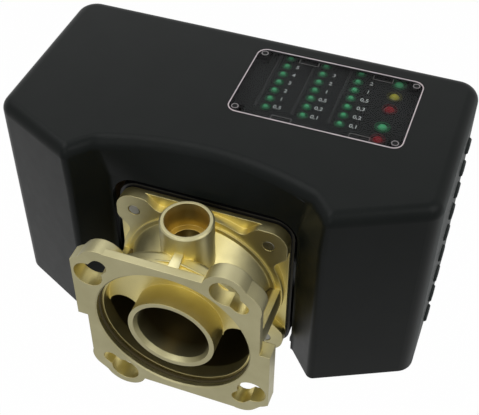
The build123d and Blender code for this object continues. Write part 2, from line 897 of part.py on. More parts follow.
def seat_ring(y0, y1):
    """One seat ring of the ball between two depths."""
    with BuildPart() as ring:
        with BuildSketch(front(y0)):
            Circle(seat_r)
            Circle(seat_inner_r, mode=Mode.SUBTRACT)
        extrude(amount=y0 - y1)
        with Locations((0, ball_y, 0)):
            Sphere(ball_r + seat_gap, mode=Mode.SUBTRACT)
    return ring.part


with BuildPart() as ball_seats:
    add(seat_ring(ball_y - seat_front, ball_y - seat_back))
    add(seat_ring(ball_y + seat_back, ball_y + seat_front))
ball_seats.part.label = "ball_seats"
export_step(ball_seats.part, "parts/ball_seats.step")

with BuildPart() as seat_retainer:
    with BuildSketch(front(ball_y + seat_front + seat_gap)):
        Circle(seat_r)
        Circle(retainer_inner_r, mode=Mode.SUBTRACT)
    extrude(amount=ball_y + seat_front + seat_gap - cartridge_end_y)
    with BuildSketch(front(cartridge_end_y - retainer_slot_depth)):
        with PolarLocations((retainer_inner_r + seat_r) / 2, 4):
            Rectangle(seat_r, retainer_slot)
    extrude(amount=-retainer_slot_depth, mode=Mode.SUBTRACT)
seat_retainer.part.label = "seat_retainer"
export_step(seat_retainer.part, "parts/seat_retainer.step")

with BuildPart() as ball:
    with BuildSketch(Plane.XY):
        mouth_y = math.sqrt(ball_r**2 - ball_bore_r**2)
        with BuildLine():
            ThreePointArc(
                (ball_bore_r, ball_y - mouth_y), (ball_r, ball_y), (ball_bore_r, ball_y + mouth_y)
            )
            Line((ball_bore_r, ball_y + mouth_y), (ball_bore_r, ball_y - mouth_y))
        make_face()
    revolve(axis=Axis.Y)
    with BuildSketch(side(tang_start_x - slot_gap)):
        Rectangle(2 * ball_r, tang_w + 2 * slot_gap)
    extrude(amount=ball_r, mode=Mode.SUBTRACT)
    mouths = [e for e in ball.edges().filter_by(GeomType.CIRCLE) if abs(e.radius - ball_bore_r) < 0.01]
    fillet(mouths, 0.6)
ball.part.label = "ball"
export_step(ball.part, "parts/ball.step")

with BuildPart() as stem:
    with BuildSketch(side(stem_start_x)):
        Circle(stem_r)
    extrude(amount=stem_end_x - stem_start_x)
    with BuildSketch(side(tang_start_x)):
        Rectangle(tang_len, tang_w)
        Circle(tang_len / 2, mode=Mode.INTERSECT)
    extrude(amount=stem_start_x - tang_start_x)
    for ring_inset in ring_insets:
        with BuildSketch(side(boss_end_x - ring_inset - stem_ring_section / 2 - small_gap)):
            Circle(stem_r + 1)
            Circle(stem_groove_r, mode=Mode.SUBTRACT)
        extrude(amount=stem_ring_section + 2 * small_gap, mode=Mode.SUBTRACT)
    with BuildSketch(front(ball_y - stem_r)):
        with Locations((stem_end_x - cross_pin_inset, 0)):
            Circle(cross_pin_r)
    extrude(amount=-2 * stem_r, mode=Mode.SUBTRACT)
    chamfer(stem.edges().sort_by(Axis.X)[-1], 0.6)
stem.part.label = "stem"
export_step(stem.part, "parts/stem.step")

with BuildPart() as stem_seals:
    ring_r = boss_bore_r - stem_ring_gap - stem_ring_section / 2
    for ring_inset in ring_insets:
        with Locations(Location((boss_end_x - ring_inset, ball_y, 0), (0, 90, 0))):
            Torus(ring_r, stem_ring_section / 2)
stem_seals.part.label = "stem_seals"
export_step(stem_seals.part, "parts/stem_seals.step")

# Stop plate on the stem boss: the pin of the motor drive runs in its arc slot
with BuildPart() as stop_plate:
    with BuildSketch(side(stop_x)):
        Circle(stop_plate_r)
        with Locations((0, -stop_plate_r - boss_r / 2)):
            Rectangle(4 * stop_plate_r, 2 * stop_plate_r, mode=Mode.SUBTRACT)
        Circle(boss_r)
        Circle(stem_r + 1, mode=Mode.SUBTRACT)
    extrude(amount=stop_plate_t)
    with BuildSketch(side(stop_x)):
        Circle(stop_slot_mid_r + stop_pin_r + stop_slot_gap)
        Circle(stop_slot_mid_r - stop_pin_r - stop_slot_gap, mode=Mode.SUBTRACT)
        with BuildLine():
            far_start = polar(2 * stop_plate_r, stop_start)
            far_end = polar(2 * stop_plate_r, stop_start + drive_turn)
            Polyline((0, 0), far_start, far_end, close=True)
        make_face(mode=Mode.INTERSECT)
        with Locations(polar(stop_slot_mid_r, stop_start), polar(stop_slot_mid_r, stop_start + drive_turn)):
            Circle(stop_pin_r + stop_slot_gap)
    extrude(amount=stop_plate_t, mode=Mode.SUBTRACT)
    with Locations(side(stop_x + stop_plate_t)):
        with PolarLocations(stop_screw_mid_r, 3, start_angle=90):
            CounterSinkHole(stop_screw_r + screw_gap, stop_screw_head_r + screw_gap, depth=stop_plate_t)
stop_plate.part.label = "stop_plate"
export_step(stop_plate.part, "parts/stop_plate.step")


def countersunk_screw():
    """Countersunk screw of the stop plate, with its head below the XY plane."""
    with BuildPart() as screw:
        with BuildSketch(Plane.XZ):
            with BuildLine():
                Polyline(
                    (0, 0),
                    (stop_screw_head_r, 0),
                    (stop_screw_r, stop_screw_r - stop_screw_head_r),
                    (stop_screw_r, -stop_plate_t - stop_screw_len),
                    (0, -stop_plate_t - stop_screw_len),
                    close=True,
                )
            make_face()
        revolve(axis=Axis.Z)
        with BuildSketch():
            RegularPolygon(stop_screw_hex, 6, major_radius=False)
        extrude(amount=-stop_screw_hex_depth, mode=Mode.SUBTRACT)
    return screw.part


with BuildPart() as stop_screws:
    stop_screw = countersunk_screw()
    with Locations(side(stop_x + stop_plate_t - small_gap)):
        with PolarLocations(stop_screw_mid_r, 3, start_angle=90):
            add(stop_screw)
stop_screws.part.label = "stop_screws"
export_step(stop_screws.part, "parts/stop_screws.step")

with BuildPart() as position_disc:
    with BuildSketch(side(disc_x)):
        Circle(disc_r)
        Circle(stem_r + small_gap, mode=Mode.SUBTRACT)
        with PolarLocations(magnet_mid_r, 2, start_angle=180):
            Circle(magnet_r + small_gap, mode=Mode.SUBTRACT)
    extrude(amount=disc_t)
position_disc.part.label = "position_disc"
export_step(position_disc.part, "parts/position_disc.step")

with BuildPart() as disc_magnets:
    with BuildSketch(side(disc_x)):
        with PolarLocations(magnet_mid_r, 2, start_angle=180):
            Circle(magnet_r)
    extrude(amount=disc_t)
disc_magnets.part.label = "disc_magnets"
export_step(disc_magnets.part, "parts/disc_magnets.step")

with BuildPart() as position_sensor:
    with BuildSketch(side(stop_x + stop_plate_t)):
        with Locations((-disc_r - position_sensor_gap - position_sensor_w / 2, 0)):
            RectangleRounded(position_sensor_w, position_sensor_h, position_sensor_gap)
    extrude(amount=disc_t)
position_sensor.part.label = "position_sensor"
export_step(position_sensor.part, "parts/position_sensor.step")

with BuildPart() as gearbox:
    with BuildSketch(side(gearbox_x)):
        RectangleRounded(gearbox_size, gearbox_size, gearbox_corner_r)
    extrude(amount=gearbox_len)
    chamfer(gearbox.edges().group_by(Axis.X)[-1], 0.8)
    with BuildSketch(side(gearbox_x)):
        with Locations(polar(stop_slot_mid_r, stop_start)):
            Circle(stop_pin_r)
    extrude(amount=stop_x - gearbox_x)
    with BuildSketch(side(gearbox_x)):
        Circle(stem_r + small_gap)
    extrude(amount=stem_end_x - gearbox_x + small_gap, mode=Mode.SUBTRACT)
    with BuildSketch(side(gearbox_x + gearbox_len)):
        with PolarLocations(motor_ear_mid_r, 2, start_angle=45):
            Circle(motor_screw_r + rear_thread_gap)
    extrude(amount=motor_ear_t - motor_screw_len, mode=Mode.SUBTRACT)
gearbox.part.label = "gearbox"
export_step(gearbox.part, "parts/gearbox.step")

with BuildPart() as motor:
    with BuildSketch(side(motor_x)):
        Circle(motor_r)
    extrude(amount=motor_len)
    fillet(motor.edges().filter_by(GeomType.CIRCLE).sort_by(Axis.X)[-1], motor_end_r)
    with BuildSketch(side(motor_x)):
        with PolarLocations(motor_ear_mid_r, 2, start_angle=45):
            Circle(motor_ear_r)
        with PolarLocations(motor_ear_mid_r / 2, 2, start_angle=45):
            Rectangle(motor_ear_mid_r, 2 * motor_ear_r)
        with PolarLocations(motor_ear_mid_r, 2, start_angle=45):
            Circle(motor_screw_r + screw_gap, mode=Mode.SUBTRACT)
    extrude(amount=motor_ear_t)
    with BuildSketch(side(motor_x + motor_len)):
        Circle(motor_cap_r)
    extrude(amount=motor_cap_t)
    with BuildSketch(side(motor_x + motor_len - motor_plug_inset)):
        with Locations((0, motor_r)):
            Rectangle(motor_plug_w, motor_plug_h)
    extrude(amount=-motor_plug_len)
motor.part.label = "motor"
export_step(motor.part, "parts/motor.step")

with BuildPart() as motor_screws:
    motor_screw = socket_screw(motor_screw_r, motor_screw_len, motor_screw_head_r, motor_screw_head_h)
    with Locations(side(motor_x + motor_ear_t)):
        with PolarLocations(motor_ear_mid_r, 2, start_angle=45):
            add(motor_screw)
motor_screws.part.label = "motor_screws"
export_step(motor_screws.part, "parts/motor_screws.step")

# Flow turbine between two spiders in the sleeve
with BuildPart() as turbine_wheel:
    y0 = turbine_y - turbine_len / 2
    blade_mid_r = (turbine_hub_r + turbine_r) / 2
    with BuildSketch(front(y0)):
        Circle(turbine_hub_r)
    extrude(amount=-turbine_len)
    for k in range(turbine_blades):
        blade_angle = 360 * k / turbine_blades
        for blade_y, angle in ((y0, blade_angle), (y0 + turbine_len, blade_angle + turbine_twist)):
            with BuildSketch(front(blade_y)):
                with Locations(Location(polar(blade_mid_r, angle), (0, 0, angle))):
                    Rectangle(turbine_r - turbine_hub_r + turbine_blade_t, turbine_blade_t)
        loft(ruled=True)
    with BuildSketch(front(y0)):
        Circle(turbine_r)
    extrude(amount=-turbine_len, mode=Mode.INTERSECT)
    with BuildSketch(front(y0)):
        Circle(axle_r + axle_fit)
    extrude(amount=-turbine_len, mode=Mode.SUBTRACT)
turbine_wheel.part.label = "turbine_wheel"
export_step(turbine_wheel.part, "parts/turbine_wheel.step")


def spider(y0):
    """Three-armed ring that carries one end of the turbine axle."""
    with BuildPart() as cross:
        with BuildSketch(front(y0)):
            Circle(tube_bore_r - small_gap)
            Circle(tube_bore_r - small_gap - spider_arm_w, mode=Mode.SUBTRACT)
            Circle(spider_hub_r)
            with PolarLocations(tube_bore_r / 2, 3, start_angle=90):
                Rectangle(tube_bore_r - 2, spider_arm_w)
            Circle(axle_r, mode=Mode.SUBTRACT)
        extrude(amount=-spider_t)
    return cross.part


with BuildPart() as turbine_spiders:
    add(spider(turbine_y - turbine_len / 2 - turbine_end_gap - spider_t))
    add(spider(turbine_y + turbine_len / 2 + turbine_end_gap))
turbine_spiders.part.label = "turbine_spiders"
export_step(turbine_spiders.part, "parts/turbine_spiders.step")

with BuildPart() as turbine_axle:
    axle_len = turbine_len + 2 * turbine_end_gap + 2 * spider_t
    with BuildSketch(front(turbine_y - axle_len / 2)):
        Circle(axle_r - small_gap / 10)
    extrude(amount=-axle_len)
turbine_axle.part.label = "turbine_axle"
export_step(turbine_axle.part, "parts/turbine_axle.step")

with BuildPart() as flow_sensor:
    with BuildSketch(Plane.XY.offset(housing_r + small_gap)):
        with Locations((0, (housing_flange_y + bracket_y0) / 2)):
            RectangleRounded(sensor_w, bracket_y0 - housing_flange_y - 2 * stop_gap, 1)
    extrude(amount=sensor_h)
flow_sensor.part.label = "flow_sensor"
export_step(flow_sensor.part, "parts/flow_sensor.step")


def hood_hollow():
    """Hollow inside the hood, following the outside at one wall thickness."""
    with BuildPart() as hollow:
        extrude(hood_plan(hood_bottom_z, hood_wall), amount=hood_inner_top - hood_bottom_z)
        uprights = hollow.edges().filter_by(Axis.Z)
        uprights = uprights.filter_by(lambda e: abs(e.center().X) > hood_half_x - hood_wall - 1)
        fillet(uprights.group_by(Axis.Y)[-1], hood_back_corner_r - hood_wall)
        fillet(uprights.group_by(Axis.Y)[0], hood_front_corner_r - hood_wall)
        add(niche_solid(hood_wall), mode=Mode.SUBTRACT)
        fillet(hollow.faces().sort_by(Axis.Z)[-1].edges(), hood_top_r - hood_wall)
    return hollow.part


def grip_bars():
    """Row of slanted grip bars on the right side of the hood."""
    step_y = (grip_high_y - grip_low_y) / (grip_count - 1)
    step_z = (grip_high_z - grip_low_z) / (grip_count - 1)
    tilt = math.degrees(math.atan2(step_z, step_y)) - 90
    bars_plane = Plane(origin=(hood_half_x - hood_wall / 2, 0, 0), x_dir=(0, 1, 0), z_dir=(1, 0, 0))
    with BuildPart() as bars:
        with BuildSketch(bars_plane):
            for k in range(grip_count):
                with Locations(Location((grip_low_y + k * step_y, grip_low_z + k * step_z, 0), (0, 0, tilt))):
                    SlotOverall(grip_len, grip_w)
        extrude(amount=hood_wall / 2 + grip_raise)
        chamfer(bars.faces().filter_by(Axis.X).group_by(Axis.X)[-1].edges(), grip_raise / 2)
    return bars.part


# Hood: moulded shell with slanted legs, a flared niche, grip bars and window seats
with BuildPart() as hood:
    extrude(hood_plan(hood_bottom_z, 0), amount=hood_top_z - hood_bottom_z)
    uprights = hood.edges().filter_by(Axis.Z)
    fillet(uprights.group_by(Axis.Y)[-1], hood_back_corner_r)
    outer_uprights = hood.edges().filter_by(Axis.Z).filter_by(lambda e: abs(e.center().X) > hood_half_x - 1)
    fillet(outer_uprights.filter_by(lambda e: e.center().Y < hood_back_y / 2), hood_front_corner_r)
    add(niche_solid(0), mode=Mode.SUBTRACT)
    leg_edges = hood.edges().filter_by(Axis.Z).filter_by(lambda e: abs(abs(e.center().X) - leg_front_x) < 1)
    fillet(leg_edges, leg_edge_r)
    outer_top = hood.faces().filter_by(Axis.Z).sort_by(Axis.Z)[-1]
    fillet(outer_top.edges(), hood_top_r)
    add(hood_hollow(), mode=Mode.SUBTRACT)
    # Ribs that stop the hood on the base plate
    rib_foot_z = base_top_z + hood_rib_gap
    with BuildSketch(Plane.XY.offset(rib_foot_z)):
        with Locations((-hood_rib_x, hood_back_y - hood_wall), (hood_rib_x, hood_back_y - hood_wall)):
            Rectangle(hood_rib_t, 2 * hood_rib_reach)
    extrude(amount=hood_back_rib_top_z - rib_foot_z)
    with BuildSketch(Plane.XY.offset(rib_foot_z)):
        front_rib_y = leg_y(hood_rib_x, hood_wall) + hood_rib_depth / 2 - hood_wall / 2
        with Locations((-hood_rib_x, front_rib_y), (hood_rib_x, front_rib_y)):
            Rectangle(hood_rib_t, hood_rib_depth)
    extrude(amount=hood_back_rib_top_z / 2 - rib_foot_z)
    # Opening round the rear flange, open below
    with BuildSketch(front(leg_front_y)):
        opening_h = opening_top_z - hood_bottom_z + opening_corner_r + 1
        with Locations((0, opening_top_z - opening_h / 2)):
            RectangleRounded(2 * opening_half, opening_h, opening_corner_r)
        with Locations((0, hood_bottom_z)):
            Rectangle(2 * opening_half, 4 * opening_corner_r)
    extrude(amount=leg_front_y - ball_y + ball_r, mode=Mode.SUBTRACT)
    # Window opening with tabs, corner ears and posts
    window_mid = ((window_x0 + window_x1) / 2, (window_y0 + window_y1) / 2)
    window_w = window_x1 - window_x0
    window_h = window_y1 - window_y0
    with BuildSketch(Plane.XY.offset(hood_inner_top - 1)):
        with Locations(window_mid):
            hole_w = window_w + 2 * window_gap
            hole_h = window_h + 2 * window_gap
            RectangleRounded(hole_w, hole_h, window_corner_r + window_gap)
    extrude(amount=hood_top_t + 2, mode=Mode.SUBTRACT)
    with BuildSketch(Plane.XY.offset(hood_top_z - window_t - tab_t)):
        tab_y0 = window_y0 - window_gap
        tab_y1 = window_y1 + window_gap
        with Locations(*[(x, y) for x in tab_xs for y in (tab_y0, tab_y1)]):
            Rectangle(tab_w, 2 * tab_reach)
        with Locations(window_mid):
            with GridLocations(window_w, window_h, 2, 2):
                Rectangle(2 * ear_size, 2 * ear_size)
        with Locations(window_mid):
            RectangleRounded(
                window_w + 2 * tab_reach, window_h + 2 * tab_reach, window_corner_r, mode=Mode.INTERSECT
            )
    extrude(amount=tab_t)
    with BuildSketch(Plane.XY.offset(hood_top_z - window_t - tab_t)):
        with Locations(window_mid):
            with GridLocations(window_w - 2 * post_inset, window_h - 2 * post_inset, 2, 2):
                Circle(post_r)
    extrude(amount=tab_t + window_t)
    # Grip bars on both sides
    grips = grip_bars()
    add(grips)
    add(mirror(grips, about=Plane.YZ, mode=Mode.PRIVATE))
hood.part.label = "hood"
export_step(hood.part, "parts/hood.step")

with BuildPart() as window:
    with BuildSketch(Plane.XY.offset(hood_top_z - window_t)):
        with Locations(window_mid):
            RectangleRounded(window_w, window_h, window_corner_r)
            with GridLocations(window_w - 2 * post_inset, window_h - 2 * post_inset, 2, 2):
                Circle(post_r + post_gap, mode=Mode.SUBTRACT)
    extrude(amount=window_t)
    chamfer(window.faces().sort_by(Axis.Z)[-1].outer_wire().edges(), 0.3)
window.part.label = "window"
export_step(window.part, "parts/window.step")


def base_outline():
    """Base plate without its slot and holes, inside the walls of the hood."""
    with BuildPart() as plate:
        extrude(hood_plan(base_low_z, base_inset), amount=base_t)
        uprights = plate.edges().filter_by(Axis.Z)
        uprights = uprights.filter_by(lambda e: abs(e.center().X) > hood_half_x - base_inset - 1)
        fillet(uprights.group_by(Axis.Y)[-1], hood_back_corner_r - base_inset)
        fillet(uprights.group_by(Axis.Y)[0], hood_front_corner_r - base_inset)
        add(niche_solid(base_inset), mode=Mode.SUBTRACT)
    return plate.part


# Base plate under the hood, slotted for the valve housing
with BuildPart() as base_plate:
    add(base_outline())
    slot_half = rear_half + base_slot_gap
    slot_end_y = housing_end_y + end_cap_t + cap_screw_head_h + base_slot_gap
    with BuildSketch(Plane.XY.offset(base_low_z)):
        with Locations((0, slot_end_y / 2)):
            Rectangle(2 * slot_half, slot_end_y)
        with Locations((gland_x, gland_y)):
            Circle(gland_hole_r)
        with Locations(*foot_points):
            Circle(foot_screw_r + screw_gap)
        with Locations(*bracket_foot_points):
            Circle(bracket_screw_r + screw_gap)
    extrude(amount=base_t, mode=Mode.SUBTRACT)
base_plate.part.label = "base_plate"
export_step(base_plate.part, "parts/base_plate.step")


def small_screws(points, plane_z, upward):
    """Pan head screws standing at the points, with heads below or above the given height."""
    with BuildPart() as screw_set:
        screw = socket_screw(bracket_screw_r, bracket_screw_len, bracket_screw_head_r, bracket_screw_head_h)
        turn = (180, 0, 0) if upward else (0, 0, 0)
        with Locations(*[Location((x, y, plane_z), turn) for x, y in points]):
            add(screw)
    return screw_set.part


with BuildPart() as foot_screws:
    add(small_screws(foot_points, base_low_z, True))
foot_screws.part.label = "foot_screws"
export_step(foot_screws.part, "parts/foot_screws.step")


def bracket(web_x, foot_dir):
    """Bent bracket with a web along Y, a foot on the base plate and a shelf under the rails."""
    web_dx = bracket_t * foot_dir
    foot_dx = bracket_foot * foot_dir
    shelf_z = rail_top_z - rail_h
    with BuildPart() as bent:
        with BuildSketch(front(bracket_y0)):
            with BuildLine():
                Polyline(
                    (web_x, base_top_z),
                    (web_x + foot_dx, base_top_z),
                    (web_x + foot_dx, base_top_z + bracket_t),
                    (web_x + web_dx, base_top_z + bracket_t),
                    (web_x + web_dx, shelf_z - bracket_t),
                    (web_x + foot_dx, shelf_z - bracket_t),
                    (web_x + foot_dx, shelf_z),
                    (web_x, shelf_z),
                    close=True,
                )
            make_face()
        extrude(amount=bracket_y0 - bracket_y1)
        outer_bends = bent.edges().filter_by(Axis.Y).filter_by(lambda e: abs(e.center().X - web_x) < 0.01)
        fillet(outer_bends, bracket_t / 2)
        window_plane = Plane(origin=(web_x - foot_dx, 0, 0), x_dir=(0, 1, 0), z_dir=(1, 0, 0))
        with BuildSketch(window_plane):
            with Locations(((bracket_y0 + bracket_y1) / 2, (base_top_z + shelf_z) / 2)):
                RectangleRounded(
                    bracket_y1 - bracket_y0 - 2 * bracket_frame,
                    shelf_z - base_top_z - 2 * bracket_frame,
                    bracket_frame_r,
                )
        extrude(amount=3 * foot_dx, mode=Mode.SUBTRACT)
        with BuildSketch(Plane.XY.offset(base_top_z - 1)):
            with Locations(*[pt for pt in bracket_foot_points if abs(pt[0] - web_x) < bracket_foot]):
                Circle(bracket_screw_r + screw_gap)
        extrude(amount=bracket_t + 2, mode=Mode.SUBTRACT)
        with BuildSketch(Plane.XY.offset(shelf_z - bracket_t - 1)):
            with Locations(*[pt for pt in rail_points if abs(pt[0] - web_x) < bracket_foot]):
                Circle(bracket_screw_r + screw_gap)
        extrude(amount=bracket_t + 2, mode=Mode.SUBTRACT)
    return bent.part


with BuildPart() as left_bracket:
    add(bracket(bracket_left_x, 1))
left_bracket.part.label = "left_bracket"
export_step(left_bracket.part, "parts/left_bracket.step")

with BuildPart() as right_bracket:
    add(bracket(bracket_right_x + bracket_t, -1))
right_bracket.part.label = "right_bracket"
export_step(right_bracket.part, "parts/right_bracket.step")

with BuildPart() as bracket_screws:
    add(small_screws(bracket_foot_points, base_low_z, True))
    add(small_screws(rail_points, rail_top_z - rail_h - bracket_t, True))
bracket_screws.part.label = "bracket_screws"
export_step(bracket_screws.part, "parts/bracket_screws.step")

with BuildPart() as carrier_rails:
    rail_len = bracket_right_x + bracket_t - bracket_left_x
    rail_mid = (bracket_right_x + bracket_t + bracket_left_x) / 2
    with BuildSketch(Plane.XY.offset(rail_top_z - rail_h)):
        with Locations((rail_mid, rail_front_y), (rail_mid, rail_back_y)):
            Rectangle(rail_len, rail_w)
    extrude(amount=rail_h)
    chamfer(carrier_rails.edges().filter_by(Axis.X).group_by(Axis.Z)[-1], rail_edge)
    with BuildSketch(Plane.XY.offset(rail_top_z - rail_h)):
        with Locations(*rail_points):
            Circle(bracket_screw_r + rear_thread_gap)
    extrude(amount=rail_h - 1, mode=Mode.SUBTRACT)
carrier_rails.part.label = "carrier_rails"
export_step(carrier_rails.part, "parts/carrier_rails.step")

# Electronics carrier: open tray that slides on the rails
with BuildPart() as carrier:
    carrier_w = carrier_x1 - carrier_x0
    carrier_mid_x = (carrier_x0 + carrier_x1) / 2
    carrier_mid_y = (bracket_y0 + bracket_y1) / 2
    carrier_depth = bracket_y1 - bracket_y0
    with BuildSketch(Plane.XY.offset(carrier_z0)):
        with Locations((carrier_mid_x, carrier_mid_y)):
            RectangleRounded(carrier_w, carrier_depth, carrier_corner_r)
    extrude(amount=board_z - carrier_z0)
    with BuildSketch(Plane.XY.offset(carrier_z0 + carrier_floor_t)):
        with Locations((carrier_mid_x, carrier_mid_y)):
            RectangleRounded(
                carrier_w - 2 * carrier_wall, carrier_depth - 2 * carrier_wall, carrier_corner_r / 2
            )
    extrude(amount=board_z - carrier_z0, mode=Mode.SUBTRACT)
    with BuildSketch(Plane.XY.offset(carrier_z0)):
        with Locations(*board_points):
            Circle(board_post_r)
    extrude(amount=board_z - carrier_z0)
    with BuildSketch(Plane.XY.offset(carrier_z0)):
        with Locations(((board_x0 + board_x1) / 2, carrier_mid_y)):
            with GridLocations(carrier_slot_pitch, 0, 3, 1):
                RectangleRounded(carrier_slot_w, carrier_depth - 2 * carrier_slot_end, carrier_corner_r)
    extrude(amount=carrier_floor_t, mode=Mode.SUBTRACT)
    with BuildSketch(Plane.XY.offset(carrier_z0 - guide_depth)):
        guide_y0 = bracket_y0 + rail_w + guide_gap + carrier_wall / 2
        guide_y1 = bracket_y1 - rail_w - guide_gap - carrier_wall / 2
        with Locations((carrier_mid_x, guide_y0), (carrier_mid_x, guide_y1)):
            Rectangle(carrier_w, carrier_wall)
    extrude(amount=guide_depth)
    with BuildSketch(Plane.XY.offset(board_z - board_screw_len)):
        with Locations(*board_points):
            Circle(board_screw_r + rear_thread_gap)
    extrude(amount=board_screw_len, mode=Mode.SUBTRACT)
carrier.part.label = "carrier"
export_step(carrier.part, "parts/carrier.step")

with BuildPart() as display_board:
    with BuildSketch(Plane.XY.offset(board_z)):
        with Locations(((board_x0 + board_x1) / 2, (board_y0 + board_y1) / 2)):
            RectangleRounded(board_x1 - board_x0, board_y1 - board_y0, board_corner_r)
        with Locations(*board_points):
            Circle(board_screw_r + screw_gap, mode=Mode.SUBTRACT)
    extrude(amount=board_t)
display_board.part.label = "display_board"
export_step(display_board.part, "parts/display_board.step")

with BuildPart() as board_screws:
    board_screw = socket_screw(board_screw_r, board_screw_len, board_screw_head_r, board_screw_head_h)
    with Locations(*[Location((x, y, board_z + board_t)) for x, y in board_points]):
        add(board_screw)
board_screws.part.label = "board_screws"
export_step(board_screws.part, "parts/board_screws.step")


def lamps(points, radius):
    """Round indicator lamps with a collar, a body and a domed top, standing on the board."""
    foot_z = board_z + board_t
    with BuildPart() as lamp:
        with BuildSketch(Plane.XZ):
            with BuildLine():
                Polyline(
                    (0, 0),
                    (radius + led_collar, 0),
                    (radius + led_collar, led_collar_t),
                    (radius, led_collar_t),
                    (radius, led_top_z - foot_z - radius),
                )
                RadiusArc((radius, led_top_z - foot_z - radius), (0, led_top_z - foot_z), -radius)
                Line((0, led_top_z - foot_z), (0, 0))
            make_face()
        revolve(axis=Axis.Z)
    with BuildPart() as lamp_set:
        with Locations(*[Location((x, y, foot_z)) for x, y in points]):
            add(lamp.part)
    return lamp_set.part


with BuildPart() as scale_lamps:
    add(lamps([(x, led_first_y + k * led_pitch) for x in led_column_xs for k in range(led_rows)], led_r))
scale_lamps.part.label = "scale_lamps"
export_step(scale_lamps.part, "parts/scale_lamps.step")

with BuildPart() as green_status_lamps:
    add(lamps([(status_x, y) for y in status_green_ys], status_r))
green_status_lamps.part.label = "green_status_lamps"
export_step(green_status_lamps.part, "parts/green_status_lamps.step")

with BuildPart() as yellow_status_lamp:
    add(lamps([(status_x, status_yellow_y)], status_r))
yellow_status_lamp.part.label = "yellow_status_lamp"
export_step(yellow_status_lamp.part, "parts/yellow_status_lamp.step")

with BuildPart() as red_status_lamps:
    add(lamps([(status_x, y) for y in status_red_ys], status_r))
red_status_lamps.part.label = "red_status_lamps"
export_step(red_status_lamps.part, "parts/red_status_lamps.step")


def key_switch(x, radius):
    """Square switch body with a round well for its key."""
    with BuildPart() as body:
        with BuildSketch(Plane.XY.offset(board_z + board_t)):
            with Locations((x, key_y)):
                Rectangle(max(switch_size, 2 * radius + 2.4), max(switch_size, 2 * radius + 2.4))
        extrude(amount=switch_h)
        with BuildSketch(Plane.XY.offset(board_z + board_t + switch_floor)):
            with Locations((x, key_y)):
                Circle(radius + key_fit)
        extrude(amount=switch_h, mode=Mode.SUBTRACT)
    return body.part


def key_cap(x, radius):
    """Round key with a rounded top edge, standing in its switch."""
    with BuildPart() as cap:
        with BuildSketch(Plane.XY.offset(board_z + board_t + switch_floor + key_travel + small_gap)):
            with Locations((x, key_y)):
                Circle(radius)
        extrude(amount=key_top_z - board_z - board_t - switch_floor - key_travel - small_gap)
        fillet(cap.edges().group_by(Axis.Z)[-1], 0.3)
    return cap.part


with BuildPart() as key_switches:
    for key_x in key_xs:
        add(key_switch(key_x, key_r))
    add(key_switch(manual_key_x, manual_key_r))
key_switches.part.label = "key_switches"
export_step(key_switches.part, "parts/key_switches.step")

with BuildPart() as flow_key:
    add(key_cap(key_xs[0], key_r))
flow_key.part.label = "flow_key"
export_step(flow_key.part, "parts/flow_key.step")

with BuildPart() as volume_key:
    add(key_cap(key_xs[1], key_r))
volume_key.part.label = "volume_key"
export_step(volume_key.part, "parts/volume_key.step")

with BuildPart() as time_key:
    add(key_cap(key_xs[2], key_r))
time_key.part.label = "time_key"
export_step(time_key.part, "parts/time_key.step")

with BuildPart() as manual_key:
    add(key_cap(manual_key_x, manual_key_r))
manual_key.part.label = "manual_key"
export_step(manual_key.part, "parts/manual_key.step")

# Dark mask under the window: lamps and keys reach into its holes
with BuildPart() as display_mask:
    mask_x0 = window_x0 - mask_left
    mask_x1 = board_x1 - mask_side
    mask_y0 = board_y0 + small_gap
    mask_y1 = board_y1
    with BuildSketch(Plane.XY.offset(mask_z)):
        with Locations(((mask_x0 + mask_x1) / 2, (mask_y0 + mask_y1) / 2)):
            RectangleRounded(mask_x1 - mask_x0, mask_y1 - mask_y0, board_corner_r)
        with Locations(*[(x, led_first_y + k * led_pitch) for x in led_column_xs for k in range(led_rows)]):
            Circle(led_r + mask_gap, mode=Mode.SUBTRACT)
        status_ys = (*status_green_ys, status_yellow_y, *status_red_ys)
        with Locations(*[(status_x, y) for y in status_ys]):
            Circle(status_r + mask_gap, mode=Mode.SUBTRACT)
        with Locations(*[(x, key_y) for x in key_xs]):
            Circle(key_r + mask_gap, mode=Mode.SUBTRACT)
        with Locations((manual_key_x, key_y)):
            Circle(manual_key_r + mask_gap, mode=Mode.SUBTRACT)
    extrude(amount=mask_t)
    # Posts that stand on the display board, clear of its screws
    post_ys = ((key_y + led_first_y) / 2, led_first_y + 4 * led_pitch)
    with BuildSketch(Plane.XY.offset(board_z + board_t)):
        with Locations(*[(x, y) for x in (board_x0 + mask_side, mask_x1 - mask_side) for y in post_ys]):
            Circle(mask_post_r)
    extrude(amount=mask_z - board_z - board_t)
display_mask.part.label = "display_mask"
export_step(display_mask.part, "parts/display_mask.step")

with BuildPart() as power_board:
    with BuildSketch(Plane.XY.offset(carrier_z0 + carrier_floor_t)):
        with Locations(((carrier_x0 + board_x0) / 2, carrier_mid_y)):
            RectangleRounded(
                board_x0 - carrier_x0 - 2 * (carrier_wall + power_board_side),
                carrier_depth - 2 * power_board_end,
                power_board_side,
            )
    extrude(amount=board_t)
power_board.part.label = "power_board"
export_step(power_board.part, "parts/power_board.step")

with BuildPart() as relay:
    with BuildSketch(Plane.XY.offset(power_board_top)):
        with Locations(((carrier_x0 + board_x0) / 2, bracket_y0 + relay_inset)):
            Rectangle(relay_w, relay_len)
    extrude(amount=relay_h)
    chamfer(relay.edges().group_by(Axis.Z)[-1], 0.5)
relay.part.label = "relay"
export_step(relay.part, "parts/relay.step")

with BuildPart() as capacitor:
    with BuildSketch(Plane.XY.offset(power_board_top)):
        with Locations(((carrier_x0 + board_x0) / 2, bracket_y1 - capacitor_inset)):
            Circle(capacitor_r)
    extrude(amount=capacitor_h)
    fillet(capacitor.edges().group_by(Axis.Z)[-1], 0.8)
capacitor.part.label = "capacitor"
export_step(capacitor.part, "parts/capacitor.step")

